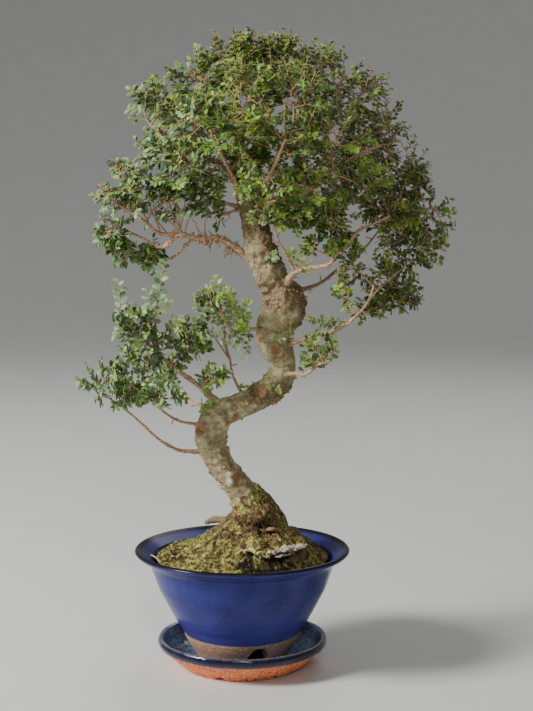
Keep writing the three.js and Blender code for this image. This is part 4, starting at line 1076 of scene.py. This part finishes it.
limbRows = {}
for name, (bends, first, last) in limbs.items():
    bends = np.asarray(bends, float)
    run = np.concatenate([[0], np.cumsum(np.linalg.norm(np.diff(bends, axis=0), axis=1))])
    radii = first + (last - first) * (run / run[-1]) ** 0.45
    limbRows[name] = np.column_stack([bends, radii])
points, quads, tris, places = joined([carriedRing(rows, 14, 2.2, limbRelief) for rows in limbRows.values()])
thickness = np.hypot(places[:, 0], places[:, 1])
values = {
    "barkPlace": places,
    "scar": 0.5 * eased(noise(points, 6, 53), 0.35, 0.8),
    "torn": 0.5 + 0.3 * noise(points, 12, 54),
    "green": np.zeros(len(points)),
    "thin": 1 - 0.55 * eased(thickness, 1.6, 5),
}
dress(makePiece("limbs", points, [quads, tris], bark, values), "bark")

# Foliage: the clusters of leaves in which the twigs end, each as place and reach. The inner ones fill the
# crown between its front and its back. twigs is how many end in each cluster of a group.
foliage = {
    "crown": [(-9, -20, 641, 25), (35, 0, 641, 26), (12, 0, 649, 20), (84, 0, 632, 26), (45, 5, 647, 19),
              (-40, -20, 619, 29), (5, -75, 606, 30), (54, -82, 602, 30), (121, -6, 605, 29),
              (-84, -5, 593, 28), (-46, -55, 578, 30), (-5, -92, 567, 30), (44, -94, 559, 30),
              (94, -75, 563, 30), (142, 0, 577, 29), (-82, 0, 546, 25), (-57, -45, 534, 28),
              (27, -75, 506, 28), (69, -76, 511, 27), (116, -50, 517, 30), (165, 8, 533, 28),
              (176, 0, 515, 20), (196, 10, 478, 25), (156, -20, 490, 26), (186, 10, 449, 26),
              (92, -48, 478, 20), (158, 15, 411, 27), (-3, 65, 627, 29), (62, 68, 627, 29),
              (-51, 60, 585, 30), (8, 98, 575, 31), (80, 93, 575, 31), (134, 75, 546, 30),
              (62, -50, 482, 16), (-34, 70, 532, 30), (41, 84, 519, 30), (107, 80, 497, 30),
              (160, 62, 472, 28), (104, -42, 453, 15), (8, -45, 541, 20)],
    "low": [(-133, -20, 501, 17), (-106, -24, 512, 20), (-65, -20, 499, 19), (-134, -15, 463, 18),
            (-140, -50, 313, 21), (-108, -30, 332, 21), (-112, -18, 366, 20), (-84, -14, 353, 21),
            (-54, -10, 351, 21), (-80, -52, 305, 21), (-30, -26, 392, 14), (-114, -54, 298, 15),
            (-85, 50, 311, 19), (-78, -24, 494, 17), (-42, -22, 508, 18), (169, 0, 397, 17),
            (146, 0, 389, 15)],
    "airy": [(-98, 4, 444, 17), (-96, -6, 436, 13), (-118, -15, 440, 13), (-120, -10, 528, 12),
             (-28, -12, 484, 12), (78, -38, 447, 12), (-126, -15, 446, 13), (-114, -22, 490, 11),
             (130, -8, 382, 12), (108, -25, 399, 11), (116, 0, 424, 13), (35, -44, 478, 11),
             (-31, -20, 314, 11), (80, -32, 339, 17)],
    "inner": [(18, 38, 626, 24), (82, 40, 606, 26), (132, 38, 556, 26), (-40, 34, 596, 24),
              (100, 42, 530, 24), (36, -42, 622, 22), (150, 36, 500, 22)],
    "twigs": {"crown": 24, "low": 16, "airy": 8, "inner": 14},
    "twigRadius": 0.4,
    "thickening": 0.34,
    "seed": 20260318,
}
draw = np.random.default_rng(foliage["seed"])


# Ends of twigs in flattened balls, pressed a little towards their outsides. Each is the one of a few
# draws that lies farthest from the ends already placed.
def twigEnds():
    ends = np.zeros((0, 7))
    for group, number in foliage["twigs"].items():
        for x, y, z, reach in foliage[group]:
            for twig in range(number):
                ray = unit(draw.normal(size=(4, 3)))
                far = reach * 0.78 * draw.random((4, 1)) ** 0.45
                tries = [x, y, z] + ray * far * [1, 1, 0.8]
                room = np.linalg.norm(tries[:, None] - ends[None, :, :3], axis=2).min(axis=1, initial=99)
                ends = np.vstack([ends, [*tries[room.argmax()], reach, x, y, z]])
    return ends


# The twigs grow like this: of all ends not yet joined, the one nearest to the wood is joined to it next.
# Nearness is the distance plus a quarter of the way already travelled from the limb. Each new twig adds
# three bends and its end as places where later twigs can start.
def growTwigs(starts, ends):
    places, parents, travelled = list(starts), [-1] * len(starts), [0.0] * len(starts)
    cost = np.linalg.norm(ends[:, None] - starts[None], axis=-1)
    nearest, best = cost.argmin(axis=1), cost.min(axis=1)
    twigs, waiting = np.zeros((len(ends), 5), int), np.ones(len(ends), bool)
    while waiting.any():
        chosen = int(np.where(waiting, best, np.inf).argmin())
        waiting[chosen] = False
        start = int(nearest[chosen])
        here, there = places[start], ends[chosen]
        length = float(np.linalg.norm(there - here))
        bow = draw.normal(size=3) * length * 0.06 + [0, 0, -0.07 * length]
        row, parent = [start], start
        for share in (0.25, 0.5, 0.75, 1.0):
            kink = draw.normal(size=3) * length * 0.03 * (share < 1)
            places.append(here + (there - here) * share + bow * 4 * share * (1 - share) + kink)
            parents.append(parent)
            travelled.append(travelled[parent] + length / 4)
            parent = len(places) - 1
            row.append(parent)
            away = np.linalg.norm(ends - places[-1], axis=1) + 0.25 * travelled[-1]
            closer = away < best
            nearest = np.where(closer, parent, nearest)
            best = np.where(closer, away, best)
        twigs[chosen] = row
    return np.array(places), np.array(parents), twigs


ends = twigEnds()
starts = np.concatenate([smoothPath(rows, 6)[0][2:, :3] for rows in limbRows.values()])
places, parents, twigs = growTwigs(starts, ends[:, :3])
carried = np.zeros(len(places))
carried[twigs[:, -1]] = 1
for index in range(len(places) - 1, len(starts) - 1, -1):
    carried[parents[index]] += carried[index]
# a twig's radius grows with a power of the number of ends it carries
twigRadii = foliage["twigRadius"] * np.maximum(carried[twigs], 1) ** foliage["thickening"]
twigRadii[:, 0] = twigRadii[:, 1]

# Bare stubs left where twigs were cut back: short, blunt, and leaning off the wood they stand on
stub = {
    "onTwigs": 260,
    "onLimbs": 240,
    "length": (2.5, 8),
    "radius": 0.65,
    "fanBends": 6,
    "fanRadius": (1.1, 0.55),
    # bare shoots, most of which rise from the knobs of the limb at the upper left: foot and tip
    "fan": [((-58, -20, 462), (-94, -26, 494)), ((-60, -20, 462), (-82, -28, 503)),
            ((-62, -20, 463), (-70, -26, 508)), ((-64, -20, 463), (-58, -24, 500)),
            ((-60, -20, 462), (-48, -24, 498)), ((-70, -20, 463), (-66, -26, 492)),
            ((-78, -22, 465), (-104, -26, 500)), ((-84, -22, 466), (-98, -26, 506)),
            ((-96, -24, 474), (-112, -28, 512)), ((-40, -14, 458), (-36, -20, 484)),
            ((64, -27, 428), (77, -34, 441)), ((-39, -14, 457), (-50, -20, 478)),
            ((-13, 6, 329), (-19, 0, 357)), ((-14, 6, 331), (-34, 2, 361))],
}
# the long thin limb at the lower left stays clean, and the one at the upper left is thick with spurs
limbPlaces = np.concatenate([smoothPath(limbRows[name], 3)[0] for name in limbs if name != "lowLeftLong"])
spurPlaces = smoothPath(limbRows["leftUpper"], 0.55)[0][14:190]
limbPlaces = limbPlaces[draw.integers(0, len(limbPlaces), stub["onLimbs"])]
ownTwig, ownBend = draw.integers(0, len(ends), stub["onTwigs"]), draw.integers(1, 4, stub["onTwigs"])
twigPlaces = places[twigs[ownTwig, ownBend]]
stubBase = np.concatenate([twigPlaces, limbPlaces[:, :3], spurPlaces[:, :3]])
wood = np.concatenate([np.full(len(twigPlaces), 0.5), limbPlaces[:, 3], spurPlaces[:, 3]])
onSpur = np.arange(len(wood)) >= len(wood) - len(spurPlaces)
# two clumps hang from the limb at the upper left, near the trunk and at its middle
hanging = onSpur * (np.exp(-((stubBase[:, 0] + 9) / 5) ** 2) + np.exp(-((stubBase[:, 0] + 33) / 6) ** 2))
pull = np.column_stack([-0.4 * hanging, np.full(len(wood), -0.2), 0.4 - 2 * hanging])
lean = unit(draw.normal(size=stubBase.shape) + pull)
reachOut = draw.uniform(*stub["length"], len(stubBase)) * np.where(onSpur, 0.6 + 1.3 * hanging, 1)
stubPaths = stubBase[:, None] + lean[:, None] * ((wood * 0.4 + reachOut)[:, None] * [0, 0.5, 1])[..., None]
stubRadii = stub["radius"] * np.where(onSpur, 1.5, 1)[:, None] * [1.25, 1.0, 0.95]
stubBlock = stems(stubPaths, stubRadii, 5)

fanFoot, fanTip = (np.array([row[k] for row in stub["fan"]], float)[:, None] for k in (0, 1))
fanShare = np.linspace(0, 1, stub["fanBends"])[:, None]
fanPaths = fanFoot + (fanTip - fanFoot) * fanShare
fanPaths = fanPaths + draw.normal(size=fanPaths.shape) * fanShare * [1, 1, 0.3]
fanRadii = np.linspace(*stub["fanRadius"], stub["fanBends"])
fanBlock = stems(fanPaths, np.broadcast_to(fanRadii, fanPaths.shape[:2]), 6)

twigBlock = stems(places[twigs], twigRadii, 5)
points, quads, tris, thick = joined([twigBlock, stubBlock, fanBlock])

# Twig bark: thin skin with pores, so nearly matt, tan with a pinkish cast on the thin shoots, greyer on the
# thicker wood, with pale specks
twigWood, tree, shader = startMaterial("twig bark", Roughness=0.7)
grain = addNode(tree, "TexNoise", {"Vector": placeInMm(tree), "Scale": 0.8, "Detail": 3.0})
thickMark = addNode(tree, "Attribute", attribute_name="thick").outputs["Fac"]
age = addNode(tree, "MapRange", [thickMark, 0.4, 1.3])
skinTone = addNode(tree, "ValToRGB", [age], [(0, "#c9924f"), (0.3, "#b58a60"), (1, "#8a7256")])
speck = addNode(tree, "ValToRGB", [grain], [(0.3, "#5a4533"), (0.52, "#a08468"), (0.75, "#d0b696")])
mixed = addNode(tree, "Mix", {0: 0.3, 6: skinTone, 7: speck}, data_type="RGBA")
feed(tree, shader, {"Base Color": mixed})
dress(makePiece("twigs", points, [quads, tris], twigWood, {"thick": thick}), "bark")
print("limbs and twigs ready", len(twigs))

# Shoots: each leaves a twig's end or its middle, turns outward and up, and zigzags from leaf to leaf
shoot = {
    "perEnd": 1.85,
    "length": (24, 42),
    "bends": 6,
    "radius": (0.55, 0.34),
    "leafGap": 2.3,
    "loneGap": 3.1,
    "leafLength": (8.4, 6.5),  # at the tree's left and on its right
    # lone shoots on trunk and limbs: foot, tip, leaf length, youth, and painted blue-grey sheen
    "lone": [((-124, -20, 361), (-128, -24, 414), 10.0, 0.1, 1.0),
             ((-98, -20, 348), (-79, -24, 432), 9.0, 0.2, 0.8),
             ((-92, -22, 382), (-99, -26, 405), 8.0, 0.1, 0.7),
             ((-93, -22, 374), (-74, -28, 393), 8.5, 0.4, 0.5),
             ((-111, -20, 348), (-118, -26, 383), 8.0, 0.2, 0.7),
             ((-75, -20, 348), (-62, -26, 376), 8.5, 0.2, 0.4),
             ((-43, -14, 302), (-13, -22, 323), 8.0, 0.1, 1.0),
             ((115, -22, 380), (105, -26, 421), 6.5, 0.3, 0.0),
             ((108, -22, 372), (66, -30, 379), 6.0, 0.2, 0.0),
             ((103, -22, 367), (67, -30, 372), 6.0, 0.1, 0.0),
             ((54, -28, 432), (50, -36, 451), 6.0, 0.5, 0.0),
             ((59, -26, 428), (62, -34, 443), 6.5, 0.8, 0.0),
             ((8, -20, 362), (-30, -34, 412), 8.0, 0.8, 0.1),
             ((-8, -24, 366), (-12, -34, 408), 9.0, 0.3, 0.3),
             ((-14, -24, 366), (-52, -34, 386), 7.5, 0.3, 0.3),
             ((2, -20, 364), (7, -34, 398), 8.0, 0.6, 0.1),
             ((6, -20, 362), (-18, -36, 396), 7.5, 0.7, 0.1),
             ((-16, -26, 372), (-44, -34, 404), 7.0, 0.3, 0.2),
             ((4, -18, 360), (-4, -36, 376), 8.0, 1.0, 0.0),
             ((24, -70, 490), (26, -86, 508), 9.0, 1.0, 0.0),
             ((28, -14, 434), (24, -27, 442), 8.0, 0.3, 0.8),
             ((28, -14, 436), (37, -26, 441), 8.0, 0.3, 0.8),
             ((-32, -20, 280), (-38, -30, 290), 7.0, 0.4, 0.2),
             ((-32, -20, 284), (-26, -30, 292), 7.0, 0.4, 0.2),
             ((-34, -20, 276), (-44, -28, 280), 6.5, 0.5, 0.1),
             ((34, -12, 298), (42, -24, 302), 6.5, 0.4, 0.2),
             ((36, -10, 300), (30, -24, 306), 6.5, 0.3, 0.3),
             ((4, -10, 300), (0, -22, 308), 6.5, 0.5, 0.2),
             ((64, -24, 422), (72, -34, 428), 7.5, 0.4, 0.3),
             ((33, -18, 352), (44, -27, 356), 6.5, 0.3, 0.3),
             ((64, -22, 318), (73, -30, 358), 8.0, 0.1, 0.1),
             ((73, -24, 323), (90, -34, 350), 8.5, 0.2, 0.2),
             ((84, -28, 330), (101, -34, 344), 8.5, 0.3, 0.2),
             ((52, -14, 347), (50, -28, 372), 5.5, 0.2, 0.0),
             ((66, -14, 352), (90, -30, 369), 5.5, 0.1, 0.0),
             ((72, -14, 352), (99, -28, 361), 5.5, 0.1, 0.0),
             ((8, -18, 362), (-8, -34, 338), 6.0, 0.0, 0.2),
             ((10, -18, 361), (2, -34, 334), 5.5, 0.0, 0.2),
             ((2, -20, 363), (-21, -34, 345), 5.5, 0.1, 0.2),
             ((-4, -22, 362), (-31, -32, 352), 6.0, 0.1, 0.2),
             ((-96, -10, 457), (-116, -18, 430), 8.5, 0.3, 0.5),
             ((-86, -8, 449), (-98, -16, 424), 8.0, 0.2, 0.5)],
}
count = int(len(ends) * shoot["perEnd"])
twig = np.concatenate([np.arange(len(ends)), draw.integers(0, len(ends), count - len(ends))])
bend = np.where(np.arange(count) < len(ends), 4, draw.integers(2, 4, count))
base = places[twigs[twig, bend]]
middle, reach = ends[twig, 4:7], ends[twig, 3]
outward = unit(base - middle + draw.normal(size=(count, 3)) * 4)
onward = unit(places[twigs[twig, 4]] - places[twigs[twig, 1]])
heading = unit(0.8 * outward + 0.5 * onward + [0, 0, 0.25] + draw.normal(size=(count, 3)) * 0.4)
length = draw.uniform(*shoot["length"], count) * reach / 30
away = np.linalg.norm(base - middle, axis=1)
length = np.clip(length, 12, np.maximum(reach * 1.05 - away * 0.5, 13))
youthOfShoot = draw.random(count) ** 3 * 0.8
# painted highlight: a blue-grey sheen that grows towards the left, where the lamp stands
paintedSheenOfShoot = eased(-base[:, 0], 10, 90) * draw.random(count)
atLeft, atRight = shoot["leafLength"]
sizeOfShoot = atLeft + (atRight - atLeft) * eased(base[:, 0], -110, 50)
loneBase, loneTip = (np.array([row[k] for row in shoot["lone"]], float) for k in (0, 1))
loneLength = np.linalg.norm(loneTip - loneBase, axis=1)
base = np.concatenate([base, loneBase])
heading = np.concatenate([heading, unit(loneTip - loneBase)])
length = np.concatenate([length, loneLength])
sizeOfShoot, youthOfShoot, paintedSheenOfShoot = (
    np.concatenate([values, [row[k] for row in shoot["lone"]]])
    for k, values in ((2, sizeOfShoot), (3, youthOfShoot), (4, paintedSheenOfShoot)))
count = len(base)
share = np.linspace(0, 1, shoot["bends"])
sideways = unit(np.cross(heading, unit(heading + draw.normal(size=(count, 3)) * 0.5)))
zigzag = np.where(np.arange(shoot["bends"]) % 2, 0.4, -0.4) * np.where(share > 0, 1, 0)
lift = draw.uniform(-0.1, 0.28, (count, 1)) * length[:, None] * share ** 2
shootPaths = base[:, None] + heading[:, None] * (length[:, None] * share)[..., None]
shootPaths = shootPaths + sideways[:, None] * zigzag[:, None] + lift[..., None] * [0, 0, 1]
shootRadii = np.broadcast_to(np.linspace(*shoot["radius"], shoot["bends"]), (count, shoot["bends"]))
points, quads, tris, thick = stems(shootPaths, shootRadii, 3)
dress(makePiece("shoots", points, [quads, tris], twigWood, {"thick": thick}), "bark")

# Leaves: for each shoot a leaf every few millimetres, on the left and right in turn, in one flat spray
leaf = {
    "halfWidth": 0.31,  # as a share of its length
    "midrib": 0.14,
    "fold": (0.1, 0.4),
    "curl": (-0.02, 0.2),
    "spread": (0.78, 1.15),  # of the lengths on one shoot
}
leafGap = np.where(np.arange(count) < count - len(shoot["lone"]), shoot["leafGap"], shoot["loneGap"])
perShoot = np.maximum((length / leafGap).astype(int), 4)
owner = np.repeat(np.arange(count), perShoot)
order = np.arange(len(owner)) - np.repeat(np.cumsum(perShoot) - perShoot, perShoot)
along = (order + 1 + draw.uniform(-0.2, 0.2, len(owner))) / (perShoot[owner] + 1)
spot = np.minimum(along, 1) * (shoot["bends"] - 1)
low = np.clip(spot.astype(int), 0, shoot["bends"] - 2)
part = (spot - low)[:, None]
leafBase = shootPaths[owner, low] * (1 - part) + shootPaths[owner, low + 1] * part
tangent = unit(shootPaths[owner, low + 1] - shootPaths[owner, low])
# a shoot's face turns up, away from the trunk and towards the light at the front left, and a lone
# shoot's turns to the front
facing = unit(base - [20, 5, 480]) * 0.6 + np.array([-0.15, -0.3, 0.6])
facing = facing + draw.normal(size=(count, 3)) * 0.35
facing[-len(shoot["lone"]):] = facing[-len(shoot["lone"]):] * 0.3 + [0, -1.0, 0.2]
upward = unit(facing[owner] + draw.normal(size=(len(owner), 3)) * 0.22)
side = unit(np.cross(tangent, upward)) * np.where(order % 2, 1, -1)[:, None]
onwardShare = draw.uniform(0.3, 0.75, (len(owner), 1))
leafAim = unit(tangent * onwardShare + side + draw.normal(size=(len(owner), 3)) * 0.15)
leafUp = unit(upward - leafAim * np.sum(upward * leafAim, axis=1, keepdims=True))
youth = np.clip(eased(along, 0.55, 1.15) * draw.uniform(0.2, 0.8, len(owner)) + youthOfShoot[owner], 0, 1)
paintedSheen = np.clip(paintedSheenOfShoot[owner] * draw.uniform(0.5, 1.1, len(owner)), 0, 1)
leafLength = sizeOfShoot[owner] * draw.uniform(*leaf["spread"], len(owner))
leafLength = leafLength * (1 - 0.35 * eased(along, 0.6, 1.2))
# random tone, lowered towards the right as painted shade: the leaf ramp turns a low tone dark green
toneAndShade = np.clip(draw.random(len(owner)) - 0.3 * eased(leafBase[:, 0], 60, 170), 0, 1)
fold = draw.uniform(*leaf["fold"], len(owner))
curl = draw.uniform(*leaf["curl"], len(owner))

# A leaf is a thin lens: an oval outline, two points of the midrib above and one below it. s runs from stem
# to tip, t across it. Its blade is folded up along the midrib and its tip curls down.
leafOutline = np.array([(0, 0), (0.17, 0.74), (0.47, 1.0), (0.78, 0.74), (1, 0), (0.78, -0.74),
                        (0.47, -1.0), (0.17, -0.74)])
outlineCount = len(leafOutline)
leafPoints = np.concatenate([leafOutline, [(0.3, 0), (0.7, 0), (0.47, 0)]])
leafThick = leaf["midrib"] * np.concatenate([np.zeros(outlineCount), [1, 1, -1]])
leafTop = [(0, 8, 1), (1, 8, 2), (2, 8, 9), (2, 9, 3), (3, 9, 4), (0, 7, 8), (7, 6, 8), (6, 9, 8),
           (6, 5, 9), (5, 4, 9)]
leafTris = np.array(leafTop + [(k, (k + 1) % outlineCount, 10) for k in range(outlineCount)])


# A point lies s lengths along the leaf and t half widths across it. It is raised by the fold times its way
# from the midrib, and lowered by the curl times its way along the leaf squared.
def leaves(base, aim, up, length, fold, curl):
    across = np.cross(up, aim)
    s, t = leafPoints[:, 0], leafPoints[:, 1]
    halfWidth = length[:, None] * leaf["halfWidth"]
    raised = fold[:, None] * np.abs(t) * halfWidth - curl[:, None] * length[:, None] * s ** 2 + leafThick
    points = (base[:, None] + aim[:, None] * (length[:, None] * s)[..., None]
              + across[:, None] * (halfWidth * t * (1 - 0.25 * fold[:, None]))[..., None]
              + up[:, None] * raised[..., None])
    first = (np.arange(len(base)) * len(leafPoints))[:, None, None]
    return points.reshape(-1, 3), (leafTris + first).reshape(-1, 3)


# Elm leaf: a waxy blade, so a satin sheen, mottled green with painted shade towards the right, younger and
# yellower at the tips, with a pale midrib, faint side veins and a painted blue-grey highlight towards the
# left.
# The underside is paler.
leafGreen, tree, shader = startMaterial("elm leaf", Roughness=0.42, Specular_IOR_Level=0.5)
toneAndShadeMark, youthMark, paintedSheenMark = (addNode(tree, "Attribute", attribute_name=name).outputs["Fac"]
                                  for name in ("toneAndShade", "youth", "paintedSheen"))
blade = addNode(tree, "Attribute", attribute_name="blade").outputs["Vector"]
axes = addNode(tree, "SeparateXYZ", [blade])
across = addNode(tree, "Math", [axes.outputs["Y"]], operation="ABSOLUTE")
rib = addNode(tree, "MapRange", [across, 0.0, 0.13, 0.55, 0.0])
slant = addNode(tree, "Math", [across, -0.35, axes.outputs["X"]], operation="MULTIPLY_ADD")
wave = addNode(tree, "Math", [slant, 44.0], operation="MULTIPLY")
vein = addNode(tree, "Math", [wave], operation="SINE")
veinShade = addNode(tree, "MapRange", [vein, 0.4, 1.0, 0.0, 0.25])
lines = addNode(tree, "Math", [rib, veinShade], operation="MAXIMUM")
# painted highlight: the blue-grey sheen mixed into the leaf colour
paintedLight = addNode(tree, "Math", [paintedSheenMark, 0.36], operation="MULTIPLY")
under = addNode(tree, "Math", [axes.outputs["Z"], 0.55], operation="MULTIPLY", use_clamp=True)
colour = addNode(tree, "ValToRGB", [toneAndShadeMark],
                 [(0, "#1b3412"), (0.45, "#2c4f1b"), (0.8, "#406726"), (1, "#5f853a")])
for share, over in ((youthMark, "#7fa524"), (lines, "#a3b56a"), (paintedLight, "#93ab98"), (under, "#8a9c6c")):
    colour = addNode(tree, "Mix", {0: share, 6: colour, 7: over}, data_type="RGBA")
dent = addNode(tree, "Bump", {"Height": vein, "Strength": 0.25, "Distance": 0.0002})
feed(tree, shader, {"Base Color": colour, "Normal": dent})

sprays = sorted(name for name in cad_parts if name.startswith("spray_"))
boxes = np.array([[list(corner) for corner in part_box(name)] for name in sprays]) / metres
nearest = np.linalg.norm(leafBase[:, None] - boxes.mean(axis=1), axis=2).argmin(axis=1)
for index, name in enumerate(sprays):
    own = nearest == index
    number = int(own.sum())
    points, tris = leaves(leafBase[own], leafAim[own], leafUp[own], leafLength[own], fold[own], curl[own])
    values = {key: np.repeat(value[own], len(leafPoints)) for key, value in
              (("toneAndShade", toneAndShade), ("youth", youth), ("paintedSheen", paintedSheen))}
    backside = (leafThick < 0) * 1.0
    values["blade"] = np.tile(np.column_stack([leafPoints, backside]), (number, 1))
    onEdge = np.tile(np.arange(len(leafPoints)) < outlineCount, number)
    piece = makePiece("leaves_" + name[-2:], points, [tris], leafGreen, values, sharpPoints=onEdge)
    dress(piece, "leaf", name)
print("leaves ready", len(owner))

# Granular soil: fired clay and bark grains, so speckled from near black to tan and rough to the eye; the
# drain mesh is moulded plastic, so an even black with a faint grey bloom where it has worn
soilColours = [(0.3, "#140e0a"), (0.48, "#33261b"), (0.6, "#5c4531"), (0.72, "#93785a")]
meshColours = [(0.35, "#1d1d1c"), (0.55, "#262624"), (0.75, "#34342f")]
soilBrown = mottledMaterial("granular soil", 0.4, soilColours, relief=0.0015, Roughness=0.95)
meshBlack = mottledMaterial("drain mesh", 0.3, meshColours, relief=0.0001, Roughness=0.6)
for name, material in (("soil", soilBrown), ("drain_mesh", meshBlack)):
    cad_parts[name].material_slots[0].material = material

# Floor: one pale plain sheet under the saucer that curves up far away, so that no horizon line shows.
# Its height is the square of the way past the flat part, times a slope. Painted board, so matt and even.
backdrop = {
    "flat": 3200,
    "far": 8000,
    "slope": 0.00012,
    "steps": 96,
}
floorGrey = mottledMaterial("pale floor", 0.01, [(0.3, "#d0d0cc"), (0.7, "#d4d4d0")], relief=0.00001,
                            Roughness=0.95, Specular_IOR_Level=0.1)
flat = backdrop["flat"]
floorRadii = np.array([400, 1200, 2400, flat, *np.linspace(flat + 300, backdrop["far"], 24)])[:, None]
angle = evenAngles(backdrop["steps"])
rise = np.maximum(floorRadii - flat, 0) ** 2 * backdrop["slope"]
grid = np.stack([floorRadii * np.cos(angle), floorRadii * np.sin(angle), rise + 0 * angle], axis=-1)
points = np.concatenate([grid.reshape(-1, 3), [[0, 0, 0]]])
quads = ringFaces(len(grid), backdrop["steps"])[:, ::-1]
middle = fanFaces(len(points) - 1, 0, backdrop["steps"], True)
floor = makePiece("floor", points, [quads, middle], floorGrey)

# Light: a soft lamp at the upper left, a faint one in front, one behind, and a pale sky. Each lamp is its
# place in metres, its size and its power, and all of them look at the middle of the tree.
lamps = {
    "key": ((-2.6, -1.0, 1.8), 0.9, 175),
    "fill": ((0.1, -2.3, 1.3), 0.4, 9),
    "rim": ((0.5, 1.8, 2.0), 1.4, 14),
}
for name, (place, size, watts) in lamps.items():
    lamp = bpy.data.lights.new(name, "AREA")
    lamp.size = size
    lamp.energy = watts
    holder = bpy.data.objects.new(name, lamp)
    holder.location = place
    aim = np.array([0.02, 0, 0.35]) - place
    tilt, turn = math.atan2(math.hypot(aim[0], aim[1]), -aim[2]), math.atan2(aim[1], aim[0])
    holder.rotation_euler = (tilt, 0, turn - math.pi / 2)
    bpy.context.scene.collection.objects.link(holder)
world = bpy.data.worlds.new("studio")
world.use_nodes = True
background = world.node_tree.nodes["Background"]
feed(world.node_tree, background, {"Color": "#eef0f2", "Strength": 0.25})
bpy.context.scene.world = world

# Camera: a long lens in front, a little above the tree's middle, looking slightly down. Its place is in
# metres.
view = {
    "lens": 77.05,
    "place": (0.026, -1.6, 0.511),
    "tilt": 83.7,
}
lens = bpy.data.cameras.new("camera")
lens.lens = view["lens"]
lens.sensor_fit = "AUTO"
camera = bpy.data.objects.new("camera", lens)
camera.location = view["place"]
camera.rotation_euler = (math.radians(view["tilt"]), 0, 0)
bpy.context.scene.collection.objects.link(camera)
bpy.context.scene.camera = camera

print("studio ready")
